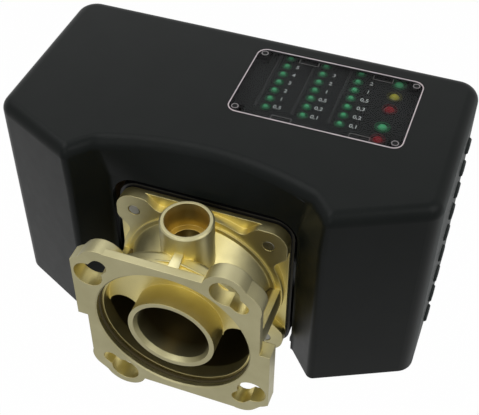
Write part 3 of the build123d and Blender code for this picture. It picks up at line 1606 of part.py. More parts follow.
# Mains side on the left of the base plate
with BuildPart() as transformer_core:
    with BuildSketch(Plane.XY.offset(base_top_z)):
        with Locations((transformer_x, transformer_y)):
            Rectangle(core_x, core_y)
    extrude(amount=core_z)
    core_plane = Plane(origin=(transformer_x - core_x, transformer_y, 0), x_dir=(0, 1, 0), z_dir=(1, 0, 0))
    with BuildSketch(core_plane):
        window_z = base_top_z + core_z / 2
        for sign in (-1, 1):
            with Locations((sign * core_y / 4, window_z)):
                Rectangle(core_y / 4, core_z / 2)
    extrude(amount=2 * core_x, mode=Mode.SUBTRACT)
transformer_core.part.label = "transformer_core"
export_step(transformer_core.part, "parts/transformer_core.step")

with BuildPart() as transformer_coil:
    limb = core_y / 4
    with BuildSketch(Plane.XY.offset(base_top_z + core_z / 4 + small_gap)):
        with Locations((transformer_x, transformer_y)):
            RectangleRounded(coil_x, 3 * core_y / 4 - 2 * small_gap, coil_corner_r)
            Rectangle(core_x + 2 * small_gap, limb + 2 * small_gap, mode=Mode.SUBTRACT)
    extrude(amount=core_z / 2 - 2 * small_gap)
transformer_coil.part.label = "transformer_coil"
export_step(transformer_coil.part, "parts/transformer_coil.step")

with BuildPart() as terminal_block:
    with BuildSketch(Plane(origin=(terminal_x, terminal_y, base_top_z), x_dir=(0, 1, 0), z_dir=(1, 0, 0))):
        with BuildLine():
            Polyline(
                (-terminal_depth / 2, 0),
                (terminal_depth / 2, 0),
                (terminal_depth / 2, terminal_shoulder),
                (terminal_top_w / 2, terminal_h),
                (-terminal_top_w / 2, terminal_h),
                (-terminal_depth / 2, terminal_shoulder),
                close=True,
            )
        make_face()
    extrude(amount=terminal_w / 2, both=True)
    with BuildSketch(Plane.XY.offset(base_top_z + terminal_h)):
        with Locations((terminal_x, terminal_y)):
            with GridLocations(terminal_w / 3, 0, 3, 1):
                Circle(terminal_hole_r)
    extrude(amount=-terminal_hole_depth, mode=Mode.SUBTRACT)
    mouth_plane = Plane(
        origin=(terminal_x, terminal_y + terminal_depth / 2, base_top_z + terminal_mouth_z),
        x_dir=(-1, 0, 0),
        z_dir=(0, 1, 0),
    )
    with BuildSketch(mouth_plane):
        with GridLocations(terminal_w / 3, 0, 3, 1):
            Rectangle(terminal_mouth, terminal_mouth)
    extrude(amount=-terminal_mouth_depth, mode=Mode.SUBTRACT)
terminal_block.part.label = "terminal_block"
export_step(terminal_block.part, "parts/terminal_block.step")

with BuildPart() as terminal_screws:
    screw_foot_z = base_top_z + terminal_h - terminal_hole_depth + small_gap
    with BuildSketch(Plane.XY.offset(screw_foot_z)):
        with Locations((terminal_x, terminal_y)):
            with GridLocations(terminal_w / 3, 0, 3, 1):
                Circle(terminal_screw_r)
    extrude(amount=terminal_screw_h)
    with BuildSketch(Plane.XY.offset(screw_foot_z + terminal_screw_h)):
        with Locations((terminal_x, terminal_y)):
            with GridLocations(terminal_w / 3, 0, 3, 1):
                Rectangle(2 * terminal_screw_r, terminal_slot_w)
    extrude(amount=-terminal_slot_depth, mode=Mode.SUBTRACT)
terminal_screws.part.label = "terminal_screws"
export_step(terminal_screws.part, "parts/terminal_screws.step")

# Cable inlet through the base plate
gland_tip_z = base_low_z - gland_thread_len
with BuildPart() as cable_gland:
    with BuildSketch(Plane.XY.offset(base_low_z)):
        with Locations((gland_x, gland_y)):
            RegularPolygon(gland_hex / 2, 6, major_radius=False)
    extrude(amount=-gland_flange_t)
    with BuildSketch(Plane.XY.offset(gland_tip_z)):
        with Locations((gland_x, gland_y)):
            Circle(gland_hole_r - small_gap)
    extrude(amount=gland_thread_len + base_t + gland_inner_len)
    with BuildSketch(Plane.XY.offset(gland_tip_z)):
        with Locations((gland_x, gland_y)):
            Circle(gland_bore_r)
    extrude(amount=gland_thread_len + base_t + gland_inner_len, mode=Mode.SUBTRACT)
cable_gland.part.label = "cable_gland"
export_step(cable_gland.part, "parts/cable_gland.step")

with BuildPart() as gland_nut:
    with BuildSketch(Plane.XY.offset(base_top_z)):
        with Locations((gland_x, gland_y)):
            RegularPolygon(gland_hex / 2, 6, major_radius=False)
            Circle(gland_hole_r - small_gap + rear_thread_gap, mode=Mode.SUBTRACT)
    extrude(amount=gland_nut_t)
gland_nut.part.label = "gland_nut"
export_step(gland_nut.part, "parts/gland_nut.step")

with BuildPart() as gland_cap:
    with BuildSketch(Plane.XY.offset(gland_tip_z)):
        with Locations((gland_x, gland_y)):
            Circle(gland_hex / 2)
            Circle(gland_hole_r - small_gap + rear_thread_gap, mode=Mode.SUBTRACT)
    extrude(amount=gland_cap_len)
    with BuildSketch(Plane.XY.offset(gland_tip_z)):
        with Locations((gland_x, gland_y)):
            Circle(gland_hex / 2)
            Circle(gland_bore_r, mode=Mode.SUBTRACT)
    extrude(amount=-gland_cap_end)
    chamfer(gland_cap.edges().group_by(Axis.Z)[0].sort_by(SortBy.LENGTH)[-1], gland_cap_edge)
gland_cap.part.label = "gland_cap"
export_step(gland_cap.part, "parts/gland_cap.step")
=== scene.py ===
import json
import math

import bpy
from mathutils import Euler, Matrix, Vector


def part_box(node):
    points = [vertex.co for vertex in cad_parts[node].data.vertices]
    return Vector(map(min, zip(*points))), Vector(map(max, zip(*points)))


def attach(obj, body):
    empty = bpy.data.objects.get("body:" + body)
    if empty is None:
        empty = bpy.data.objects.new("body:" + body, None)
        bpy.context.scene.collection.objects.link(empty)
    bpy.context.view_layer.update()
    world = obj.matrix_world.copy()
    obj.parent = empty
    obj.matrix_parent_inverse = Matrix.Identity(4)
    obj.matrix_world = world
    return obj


# Leak protection device: looks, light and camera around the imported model, in metres.
MM = 0.001
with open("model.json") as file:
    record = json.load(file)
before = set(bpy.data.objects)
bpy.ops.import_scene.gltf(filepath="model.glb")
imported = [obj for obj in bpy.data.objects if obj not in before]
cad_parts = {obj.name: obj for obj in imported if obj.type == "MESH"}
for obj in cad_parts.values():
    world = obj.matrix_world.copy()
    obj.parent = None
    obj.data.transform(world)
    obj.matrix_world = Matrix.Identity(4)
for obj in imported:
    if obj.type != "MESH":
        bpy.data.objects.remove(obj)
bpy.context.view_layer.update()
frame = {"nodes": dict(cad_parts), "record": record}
nodes_of = frame["nodes"]

# Camera, solved from the flange, the water ways, the port and the hood of the photograph
IMAGE_WIDTH = 479
PRINCIPAL_X = 231.3
FOCAL_PIXELS = 978.67
SENSOR_MM = 36.0
CAMERA_PLACE = (0.10227, -0.20961, 0.30389)
CAMERA_DOWN = 45.24
CAMERA_TURN = 20.27


def make_camera():
    """The photograph's camera as a shifted perspective camera."""
    data = bpy.data.cameras.new("camera")
    data.sensor_width = SENSOR_MM
    data.lens = FOCAL_PIXELS * SENSOR_MM / IMAGE_WIDTH
    data.shift_x = (IMAGE_WIDTH / 2 - PRINCIPAL_X) / IMAGE_WIDTH
    data.clip_start = 0.01
    data.clip_end = 20.0
    camera = bpy.data.objects.new("camera", data)
    camera.location = CAMERA_PLACE
    camera.rotation_euler = Euler((math.radians(90 - CAMERA_DOWN), 0, math.radians(CAMERA_TURN)))
    bpy.context.collection.objects.link(camera)
    bpy.context.scene.camera = camera


make_camera()


def tone(red, green, blue):
    """Linear colour of a display colour given in steps of 255."""
    linear = []
    for value in (red, green, blue):
        share = value / 255
        linear.append(share / 12.92 if share <= 0.04045 else ((share + 0.055) / 1.055) ** 2.4)
    return (*linear, 1.0)


class Surface:
    """A Principled material whose detail is added step by step from procedural nodes."""

    def __init__(self, name, color, roughness, metallic=0.0, **sockets):
        self.material = bpy.data.materials.new(name)
        self.material.use_nodes = True
        self.tree = self.material.node_tree
        self.shader = self.tree.nodes["Principled BSDF"]
        self.shader.inputs["Base Color"].default_value = color
        self.shader.inputs["Roughness"].default_value = roughness
        self.shader.inputs["Metallic"].default_value = metallic
        for key, value in sockets.items():
            self.shader.inputs[key.replace("_", " ")].default_value = value
        self.coords = self.tree.nodes.new("ShaderNodeTexCoord").outputs["Object"]
        self.normal = None

    def link(self, output, target):
        self.tree.links.new(output, target)

    def noise(self, grain_mm, detail=3.0, stretch=(1, 1, 1)):
        """Noise with grains of the given size, stretched along the axes."""
        mapping = self.tree.nodes.new("ShaderNodeMapping")
        mapping.inputs["Scale"].default_value = [1 / (grain_mm * MM * s) for s in stretch]
        texture = self.tree.nodes.new("ShaderNodeTexNoise")
        texture.inputs["Scale"].default_value = 1.0
        texture.inputs["Detail"].default_value = detail
        self.link(self.coords, mapping.inputs["Vector"])
        self.link(mapping.outputs["Vector"], texture.inputs["Vector"])
        return texture.outputs["Fac"]

    def remap(self, value, low, high, from_low=0.3, from_high=0.7):
        """Value brought from one range to another, clamped."""
        node = self.tree.nodes.new("ShaderNodeMapRange")
        node.inputs["From Min"].default_value = from_low
        node.inputs["From Max"].default_value = from_high
        node.inputs["To Min"].default_value = low
        node.inputs["To Max"].default_value = high
        self.link(value, node.inputs["Value"])
        return node.outputs["Result"]

    def math(self, operation, first, second=None):
        """Result of a calculation with one or two values or outputs."""
        node = self.tree.nodes.new("ShaderNodeMath")
        node.operation = operation
        for value, socket in ((first, node.inputs[0]), (second, node.inputs[1])):
            if isinstance(value, (int, float)):
                socket.default_value = value
            elif value is not None:
                self.link(value, socket)
        return node.outputs[0]

    def length(self, first, second):
        """Length of a flat vector with the given components."""
        squares = [self.math("MULTIPLY", part, part) for part in (first, second)]
        return self.math("SQRT", self.math("ADD", *squares))

    def axes(self):
        """The object's coordinates, as three outputs."""
        place = self.tree.nodes.new("ShaderNodeSeparateXYZ")
        self.link(self.coords, place.inputs[0])
        return [place.outputs[axis] for axis in "XYZ"]

    def mix(self, factor, color_a, color_b):
        """Colour between two colours or colour outputs."""
        node = self.tree.nodes.new("ShaderNodeMix")
        node.data_type = "RGBA"
        self.link(factor, node.inputs[0])
        for color, socket in ((color_a, node.inputs[6]), (color_b, node.inputs[7])):
            if isinstance(color, tuple):
                socket.default_value = color
            else:
                self.link(color, socket)
        return node.outputs[2]

    def vary_color(self, other, grain_mm, detail=3.0, low=0.35, high=0.65):
        """Colour that drifts towards another one in patches."""
        own = tuple(self.shader.inputs["Base Color"].default_value)
        factor = self.remap(self.noise(grain_mm, detail), 0.0, 1.0, low, high)
        self.link(self.mix(factor, own, other), self.shader.inputs["Base Color"])
        return self

    def vary_roughness(self, low, high, grain_mm, stretch=(1, 1, 1)):
        """Roughness that changes over the surface."""
        varied = self.remap(self.noise(grain_mm, 4.0, stretch), low, high)
        self.link(varied, self.shader.inputs["Roughness"])
        return self

    def bevel(self, radius_mm):
        """Softly rounded edges in the shading."""
        node = self.tree.nodes.new("ShaderNodeBevel")
        node.samples = 6
        node.inputs["Radius"].default_value = radius_mm * MM
        self.normal = node.outputs["Normal"]
        self.link(self.normal, self.shader.inputs["Normal"])
        return self

    def bump(self, height, depth_mm, strength=1.0):
        """Relief from a height output, on top of what is there already."""
        node = self.tree.nodes.new("ShaderNodeBump")
        node.inputs["Distance"].default_value = depth_mm * MM
        node.inputs["Strength"].default_value = strength
        self.link(height, node.inputs["Height"])
        if self.normal is not None:
            self.link(self.normal, node.inputs["Normal"])
        self.normal = node.outputs["Normal"]
        self.link(self.normal, self.shader.inputs["Normal"])
        return self

    def grain(self, grain_mm, depth_mm, strength=1.0, stretch=(1, 1, 1)):
        """Even grain of the given size and depth."""
        return self.bump(self.noise(grain_mm, 3.0, stretch), depth_mm, strength)


# Brass body: painted shade darkens the tube's bore and the water ways behind the face, and painted
# bounce light fills the port's bore
TUBE_BORE = 16.3 * MM
TUBE_FADE_START = 2.0 * MM
TUBE_FADE_END = 9.0 * MM
WATER_WAY = 31.2 * MM
WATER_WAY_START = 9.8 * MM
WATER_WAY_TOP = 5.2 * MM
PORT_PLACE_Y = 19.9 * MM
PORT_BORE = 8.9 * MM
PORT_TOP = 44.6 * MM
PORT_FADE = 4.0 * MM
BLEND = 0.8 * MM
BORE_PAINTED_SHADE_COLOR = tone(104, 92, 58)
PORT_PAINTED_LIGHT_COLOR = tone(178, 156, 90)
# Painted bounce light: recesses turn golden where less of the surroundings reaches them
RECESS_PAINTED_LIGHT_COLOR = tone(228, 212, 138)
RECESS_REACH = 18.0 * MM
RECESS_DEEP = 0.25
RECESS_OPEN = 0.85
RECESS_SAMPLES = 12


def brass(name, color, other):
    """Cast brass with a satin face, painted shade in its bores and water ways, and painted bounce light
    in its recesses and the port's bore.
    """
    surface = Surface(name, color, 0.42, 1.0)
    surface.vary_color(other, 14.0)
    surface.vary_roughness(0.4, 0.46, 4.0)
    surface.bevel(0.35)
    surface.grain(0.4, 0.008, 0.3)
    x, y, z = surface.axes()
    from_axis = surface.length(x, z)
    from_port = surface.length(x, surface.math("SUBTRACT", y, PORT_PLACE_Y))
    # Painted shade: the tube's bore darkens deeper in, and the water ways behind the face darken as well
    tube_painted_shade = surface.math(
        "MULTIPLY",
        surface.remap(from_axis, 1.0, 0.0, TUBE_BORE, TUBE_BORE + BLEND),
        surface.remap(y, 0.0, 1.0, TUBE_FADE_START, TUBE_FADE_END),
    )
    within = surface.remap(from_axis, 1.0, 0.0, WATER_WAY, WATER_WAY + BLEND)
    below = surface.remap(z, 1.0, 0.0, WATER_WAY_TOP, WATER_WAY_TOP + BLEND)
    way_painted_shade = surface.math(
        "MULTIPLY",
        surface.math("MULTIPLY", within, below),
        surface.remap(y, 0.0, 1.0, WATER_WAY_START, WATER_WAY_START + BLEND),
    )
    # Painted bounce light in the port's bore, fading out towards its top
    port_painted_light = surface.math(
        "MULTIPLY",
        surface.remap(from_port, 1.0, 0.0, PORT_BORE, PORT_BORE + BLEND),
        surface.remap(z, 1.0, 0.0, PORT_TOP - PORT_FADE, PORT_TOP),
    )
    # Painted bounce light, where the occlusion node finds a recess
    recess = surface.tree.nodes.new("ShaderNodeAmbientOcclusion")
    recess.samples = RECESS_SAMPLES
    recess.inputs["Distance"].default_value = RECESS_REACH
    openness = surface.remap(recess.outputs["AO"], 0.0, 1.0, RECESS_DEEP, RECESS_OPEN)
    shader_color = surface.shader.inputs["Base Color"]
    clean = shader_color.links[0].from_socket
    warm = surface.mix(openness, RECESS_PAINTED_LIGHT_COLOR, clean)
    golden = surface.mix(port_painted_light, warm, PORT_PAINTED_LIGHT_COLOR)
    # Painted shade laid over the tube's bore and the water ways
    painted_shade_color = surface.mix(surface.math("MAXIMUM", tube_painted_shade, way_painted_shade), golden, BORE_PAINTED_SHADE_COLOR)
    surface.link(painted_shade_color, shader_color)
    return surface.material


# Hood: painted light makes its right side duller and paler than the rest, standing in for how light
# falls on that side
SIDE_START = 87.6 * MM
SIDE_FULL = 88.9 * MM
SIDE_PAINTED_LIGHT_COLOR = tone(50, 54, 53)
SIDE_GLOSS = 0.004
TOP_GLOSS = 0.08


def hood_plastic():
    """Dark plastic from a mould with an even grain; painted light makes it duller and paler on the right
    side.
    """
    surface = Surface("hood_plastic", tone(14, 17, 16), 0.38)
    surface.vary_color(tone(12, 15, 14), 14.0)
    surface.vary_roughness(0.36, 0.4, 5.0)
    surface.grain(0.6, 0.03, 0.5)
    x = surface.axes()[0]
    # Painted light: less gloss and a paler colour on the right side
    gloss = surface.remap(x, TOP_GLOSS, SIDE_GLOSS, SIDE_START, SIDE_FULL)
    surface.link(gloss, surface.shader.inputs["Specular IOR Level"])
    side_painted_light = surface.remap(x, 0.0, 1.0, SIDE_START, SIDE_FULL)
    shader_color = surface.shader.inputs["Base Color"]
    dark = shader_color.links[0].from_socket
    surface.link(surface.mix(side_painted_light, dark, SIDE_PAINTED_LIGHT_COLOR), shader_color)
    return surface.material


MATERIALS = {
    "brass": brass("brass", tone(160, 154, 120), tone(152, 146, 112)),
    "mask_black": Surface("mask_black", tone(12, 12, 13), 0.6, Specular_IOR_Level=0.2)
    .vary_roughness(0.55, 0.65, 6.0)
    .material,
    "seal_rubber": Surface("seal_rubber", tone(70, 62, 38), 0.6, Specular_IOR_Level=0.2)
    .grain(0.4, 0.02, 0.5)
    .material,
    "black_housing": Surface("black_housing", tone(22, 22, 24), 0.36, Specular_IOR_Level=0.3)
    .vary_roughness(0.32, 0.42, 6.0)
    .bevel(0.3)
    .grain(0.8, 0.01, 0.4)
    .material,
    "steel_screw": Surface("steel_screw", tone(128, 127, 118), 0.4, 1.0)
    .vary_roughness(0.28, 0.45, 0.8)
    .bevel(0.15)
    .grain(0.3, 0.01, 0.5)
    .material,
    "white_plastic": Surface("white_plastic", tone(225, 224, 215), 0.4)
    .vary_color(tone(214, 213, 203), 7.0)
    .bevel(0.2)
    .grain(0.6, 0.01, 0.4)
    .material,
    "seat_plastic": Surface("seat_plastic", tone(238, 238, 232), 0.35)
    .vary_roughness(0.3, 0.45, 2.0)
    .bevel(0.2)
    .material,
    "chromed_brass": Surface("chromed_brass", tone(214, 214, 216), 0.08, 1.0)
    .vary_roughness(0.05, 0.14, 5.0)
    .bevel(0.2)
    .material,
    "steel_stem": Surface("steel_stem", tone(176, 176, 172), 0.28, 1.0)
    .vary_roughness(0.2, 0.36, 0.6, (8, 1, 1))
    .bevel(0.15)
    .material,
    "zinc_sheet": Surface("zinc_sheet", tone(186, 188, 186), 0.36, 1.0)
    .vary_color(tone(170, 172, 166), 6.0, 6.0, 0.42, 0.58)
    .vary_roughness(0.28, 0.46, 4.0)
    .bevel(0.2)
    .material,
    "magnet": Surface("magnet", tone(150, 150, 155), 0.2, 1.0)
    .vary_roughness(0.15, 0.3, 1.0)
    .material,
    "sensor_black": Surface("sensor_black", tone(24, 24, 26), 0.5)
    .grain(0.3, 0.02, 0.5)
    .bevel(0.1)
    .material,
    "gearbox_plastic": Surface("gearbox_plastic", tone(52, 53, 56), 0.5)
    .bevel(0.25)
    .grain(0.35, 0.02, 0.6)
    .material,
    "motor_steel": Surface("motor_steel", tone(152, 153, 156), 0.32, 1.0)
    .vary_roughness(0.24, 0.4, 1.2, (6, 1, 1))
    .bevel(0.25)
    .material,
    "turbine_plastic": Surface("turbine_plastic", tone(84, 116, 168), 0.35)
    .vary_roughness(0.28, 0.42, 2.0)
    .bevel(0.1)
    .material,
    "hood_plastic": hood_plastic(),
    "base_plastic": Surface("base_plastic", tone(40, 40, 41), 0.55)
    .vary_color(tone(34, 34, 35), 12.0)
    .bevel(0.25)
    .grain(0.6, 0.02, 0.5)
    .material,
    "rail_plastic": Surface("rail_plastic", tone(206, 206, 200), 0.32)
    .vary_roughness(0.25, 0.42, 3.0, (5, 1, 1))
    .bevel(0.15)
    .material,
    "carrier_plastic": Surface("carrier_plastic", tone(58, 59, 60), 0.5)
    .bevel(0.2)
    .grain(0.5, 0.02, 0.5)
    .material,
    "switch_black": Surface("switch_black", tone(26, 26, 27), 0.35)
    .bevel(0.1)
    .grain(0.3, 0.01, 0.4)
    .material,
    "key_grey": Surface("key_grey", tone(186, 186, 184), 0.45)
    .bevel(0.1)
    .grain(0.3, 0.01, 0.4)
    .material,
    "key_red": Surface("key_red", tone(178, 34, 34), 0.42)
    .bevel(0.1)
    .grain(0.3, 0.01, 0.4)
    .material,
    "relay_blue": Surface("relay_blue", tone(40, 84, 150), 0.3)
    .bevel(0.15)
    .grain(0.5, 0.01, 0.4)
    .material,
    "capacitor_sleeve": Surface("capacitor_sleeve", tone(34, 34, 52), 0.25)
    .vary_roughness(0.2, 0.32, 2.0)
    .bevel(0.1)
    .material,
    "coil_yellow": Surface("coil_yellow", tone(92, 70, 26), 0.4, Specular_IOR_Level=0.3)
    .vary_color(tone(80, 60, 20), 3.0)
    .grain(1.2, 0.05, 0.6, (1, 1, 0.1))
    .material,
    "terminal_plastic": Surface("terminal_plastic", tone(206, 206, 198), 0.45)
    .bevel(0.15)
    .grain(0.5, 0.01, 0.4)
    .material,
    "gland_plastic": Surface("gland_plastic", tone(36, 36, 38), 0.42)
    .bevel(0.2)
    .grain(0.5, 0.02, 0.5)
    .material,
}

# Lamps: what looks up is a bright crown, the rest a darker rim
CROWN_START = 0.6
CROWN_FULL = 0.97
RIM_SHARE = 0.3
LENS_DEPTH = 1.0 * MM


def lens(name, color, glow, crown_start=CROWN_START):
    """Diffusing plastic of an indicator lamp that is lit dimly, with a bright crown."""
    surface = Surface(name, color, 0.25, Coat_Weight=0.1, Specular_IOR_Level=0.2)
    surface.shader.inputs["Subsurface Weight"].default_value = 0.3
    surface.shader.inputs["Subsurface Radius"].default_value = (LENS_DEPTH, LENS_DEPTH, LENS_DEPTH)
    surface.shader.inputs["Emission Color"].default_value = color
    surface.shader.inputs["Emission Strength"].default_value = glow
    surface.vary_roughness(0.2, 0.34, 0.8)
    upward = surface.tree.nodes.new("ShaderNodeSeparateXYZ")
    surface.link(surface.tree.nodes["Texture Coordinate"].outputs["Normal"], upward.inputs[0])
    rim = tuple(RIM_SHARE * share for share in color[:3]) + (1.0,)
    on_crown = surface.remap(upward.outputs["Z"], 0.0, 1.0, crown_start, CROWN_FULL)
    shown = surface.mix(on_crown, rim, color)
    surface.link(shown, surface.shader.inputs["Base Color"])
    surface.link(shown, surface.shader.inputs["Emission Color"])
    return surface.material


# Index below that of real acrylic, so the pane mirrors less
WINDOW_INDEX = 1.12


def smoked_glass():
    """Smoked acrylic of the display window."""
    surface = Surface("smoked_window", tone(188, 192, 192), 0.04, IOR=WINDOW_INDEX)
    surface.shader.inputs["Transmission Weight"].default_value = 1.0
    surface.vary_roughness(0.0, 0.012, 8.0)
    return surface.material


def laminations():
    """Stacked transformer sheets, seen as fine lines."""
    surface = Surface("lamination_steel", tone(92, 92, 96), 0.42, 0.9)
    surface.vary_color(tone(66, 62, 60), 4.0)
    surface.grain(0.5, 0.12, 0.9, (1, 60, 60))
    return surface.material


def circuit_board():
    """Green solder mask over copper tracks."""
    surface = Surface("board_green", tone(26, 74, 48), 0.3)
    tracks = surface.noise(2.6, 0.0, (1, 3, 1))
    edges = surface.remap(tracks, 0.0, 1.0, 0.49, 0.51)
    masked = surface.mix(edges, tone(22, 64, 42), tone(38, 98, 62))
    surface.link(masked, surface.shader.inputs["Base Color"])
    surface.bump(edges, 0.03, 0.6)
    return surface.material


MATERIALS["green_lens"] = lens("green_lens", tone(82, 190, 130), 0.25)
MATERIALS["yellow_lens"] = lens("yellow_lens", tone(172, 164, 50), 0.25, 0.4)
MATERIALS["red_lens"] = lens("red_lens", tone(150, 8, 24), 0.2, 0.2)
MATERIALS["smoked_window"] = smoked_glass()
MATERIALS["lamination_steel"] = laminations()
MATERIALS["board_green"] = circuit_board()

for part in frame["record"]["subparts"]:
    node = nodes_of[part["node"]]
    node.data.materials.clear()
    node.data.materials.append(MATERIALS[part["material_slot"]])

# Display: numbers, lamp collars, ribs beside the scales, and the bright edges of the window as painted
# highlights
WINDOW_LOW, WINDOW_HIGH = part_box("window")
MASK_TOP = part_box("display_mask")[1][2]
WINDOW_CORNER = 4.0 * MM
LAMP_FIRST_Y = 79.6 * MM
LAMP_PITCH = 5.6 * MM
LAMP_ROWS = 7
LAMP_RADIUS = 1.5 * MM
STATUS_RADIUS = 2.4 * MM
STATUS_X = 56.8 * MM
# Places of the status lamps along Y, in millimetres
STATUS_LAMPS = {"green": (111.6, 83.5), "yellow": (103.4,), "red": (95.0, 75.9)}
LABEL_HEIGHT = 2.9 * MM
INK_THICK = 0.03 * MM
INK_SPREAD = 0.02 * MM
INK_LIFT = 0.04 * MM
# Each scale: place of its lamps and of its numbers, place of the top number, pitch, numbers from the top
SCALES = (
    (10.0 * MM, 14.4 * MM, 108.5 * MM, 5.52 * MM, ("5", "4", "3", "2", "1", "0,5")),
    (25.4 * MM, 30.2 * MM, 108.5 * MM, 5.68 * MM, ("3", "2", "1", "0,5", "0,2", "0,1")),
    (40.5 * MM, 46.0 * MM, 108.5 * MM, 5.68 * MM, ("2", "1", "0,5", "0,3", "0,2", "0,1")),
)


def make_numbers():
    """Printed numbers of the three scales, as thin raised ink."""
    ink = Surface("number_ink", tone(244, 244, 242), 0.6).vary_color(tone(226, 226, 224), 0.8).material
    for column, (_, place_x, top_y, pitch, words) in enumerate(SCALES):
        for row, word in enumerate(words):
            curve = bpy.data.curves.new(f"number_{column}_{row}", "FONT")
            curve.body = word
            curve.size = LABEL_HEIGHT
            curve.align_x = "CENTER"
            curve.align_y = "CENTER"
            curve.extrude = INK_THICK
            curve.offset = INK_SPREAD
            shown = bpy.data.objects.new("number_source", curve)
            bpy.context.collection.objects.link(shown)
            bpy.context.view_layer.update()
            depsgraph = bpy.context.evaluated_depsgraph_get()
            mesh = bpy.data.meshes.new_from_object(shown.evaluated_get(depsgraph))
            bpy.data.objects.remove(shown)
            mesh.materials.clear()
            mesh.materials.append(ink)
            piece = bpy.data.objects.new(f"number_{column}_{row}", mesh)
            piece.location = (place_x, top_y - row * pitch, MASK_TOP + INK_LIFT)
            bpy.context.collection.objects.link(piece)
            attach(piece, "carrier")


def make_bead(name, points, radius, material, body, closed=False):
    """Thin rounded line along the points."""
    curve = bpy.data.curves.new(name, "CURVE")
    curve.dimensions = "3D"
    curve.bevel_depth = radius
    curve.bevel_resolution = 3
    curve.use_fill_caps = True
    spline = curve.splines.new("POLY")
    spline.points.add(len(points) - 1)
    for knot, place in zip(spline.points, points):
        knot.co = (*place, 1.0)
    spline.use_cyclic_u = closed
    curve.materials.append(material)
    piece = bpy.data.objects.new(name, curve)
    bpy.context.collection.objects.link(piece)
    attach(piece, body)


def rounded_outline(low, high, inset, corner, z, steps=8):
    """Points round a rectangle with rounded corners."""
    x0, y0 = low[0] + inset + corner, low[1] + inset + corner
    x1, y1 = high[0] - inset - corner, high[1] - inset - corner
    points = []
    for middle_x, middle_y, start in ((x1, y1, 0), (x0, y1, 90), (x0, y0, 180), (x1, y0, 270)):
        for step in range(steps + 1):
            angle = math.radians(start + 90 * step / steps)
            points.append((middle_x + corner * math.cos(angle), middle_y + corner * math.sin(angle), z))
    return points


def ring_points(x, y, z, radius, steps=28):
    """Points round a circle."""
    turns = [2 * math.pi * step / steps for step in range(steps)]
    return [(x + radius * math.cos(turn), y + radius * math.sin(turn), z) for turn in turns]


EDGE_BEAD = 0.24 * MM
EDGE_INSET = 0.1 * MM
CLIP_BEAD = 0.13 * MM
CLIP_XS = (19.0 * MM, 50.4 * MM)
CLIP_HALF = 4.0 * MM
CLIP_REACH = 2.4 * MM
CLIP_FRONT = 2.0 * MM
POST_INSET = 3.0 * MM
POST_RADIUS = 1.3 * MM
POST_BEAD = 0.2 * MM


def make_window_edges():
    """Bright edge of the pane, and the edges of its clips and of the posts in its corners, as pale beads
    that are painted highlights.
    """
    # Painted highlights: the pale bead colours stand in for light caught by the edges
    edge_highlight_paint = Surface("painted_edge_highlight", tone(192, 180, 183), 0.35)
    edge_highlight_paint.vary_color(tone(176, 165, 168), 6.0)
    rim_highlight_paint = Surface("painted_rim_highlight", tone(124, 119, 120), 0.4)
    rim_highlight_paint.vary_color(tone(110, 105, 106), 2.0)
    top_z = WINDOW_HIGH[2]
    outline = rounded_outline(WINDOW_LOW, WINDOW_HIGH, EDGE_INSET, WINDOW_CORNER, top_z - EDGE_INSET)
    make_bead("window_edge", outline, EDGE_BEAD, edge_highlight_paint.material, "hood", closed=True)
    front_y = WINDOW_LOW[1] + CLIP_FRONT
    for row, (outer_y, inward) in enumerate(((front_y, 1), (WINDOW_HIGH[1] - EDGE_BEAD, -1))):
        for column, clip_x in enumerate(CLIP_XS):
            inner_y = outer_y + inward * CLIP_REACH
            corners = (
                (clip_x - CLIP_HALF, outer_y),
                (clip_x - CLIP_HALF, inner_y),
                (clip_x + CLIP_HALF, inner_y),
                (clip_x + CLIP_HALF, outer_y),
            )
            points = [(x, y, WINDOW_LOW[2]) for x, y in corners]
            name = f"clip_edge_{row}_{column}"
            make_bead(name, points, CLIP_BEAD, rim_highlight_paint.material, "hood")
    for row, y in enumerate((WINDOW_LOW[1] + POST_INSET, WINDOW_HIGH[1] - POST_INSET)):
        for column, x in enumerate((WINDOW_LOW[0] + POST_INSET, WINDOW_HIGH[0] - POST_INSET)):
            points = ring_points(x, y, top_z, POST_RADIUS)
            name = f"post_rim_{row}_{column}"
            make_bead(name, points, POST_BEAD, rim_highlight_paint.material, "hood", closed=True)


COLLAR_COLORS = {"green": tone(16, 80, 46), "yellow": tone(66, 62, 18), "red": tone(70, 6, 14)}
COLLAR_GLOW = 0.3
COLLAR_GAP = 0.35 * MM
STATUS_COLLAR = 0.6 * MM
LAMP_COLLAR = 0.4 * MM


def make_collars():
    """Collars round the lamps, in a deeper tone and lit dimly like them."""
    for color, deep in COLLAR_COLORS.items():
        collar = lens(f"{color}_collar", deep, COLLAR_GLOW)
        status_ring = STATUS_RADIUS + COLLAR_GAP
        places = [(STATUS_X, y * MM, status_ring, STATUS_COLLAR) for y in STATUS_LAMPS[color]]
        if color == "green":
            for lamp_x, *_ in SCALES:
                for row in range(LAMP_ROWS):
                    lamp_y = LAMP_FIRST_Y + row * LAMP_PITCH
                    places.append((lamp_x, lamp_y, LAMP_RADIUS + COLLAR_GAP, LAMP_COLLAR))
        for number, (x, y, radius, thick) in enumerate(places):
            points = ring_points(x, y, MASK_TOP, radius)
            name = f"{color}_collar_{number}"
            make_bead(name, points, thick, collar, "carrier", closed=True)


SCALE_RIB_OFFSET = 4.4 * MM
SCALE_RIB_PAST = 1.0 * MM
SCALE_RIB_BEAD = 0.55 * MM


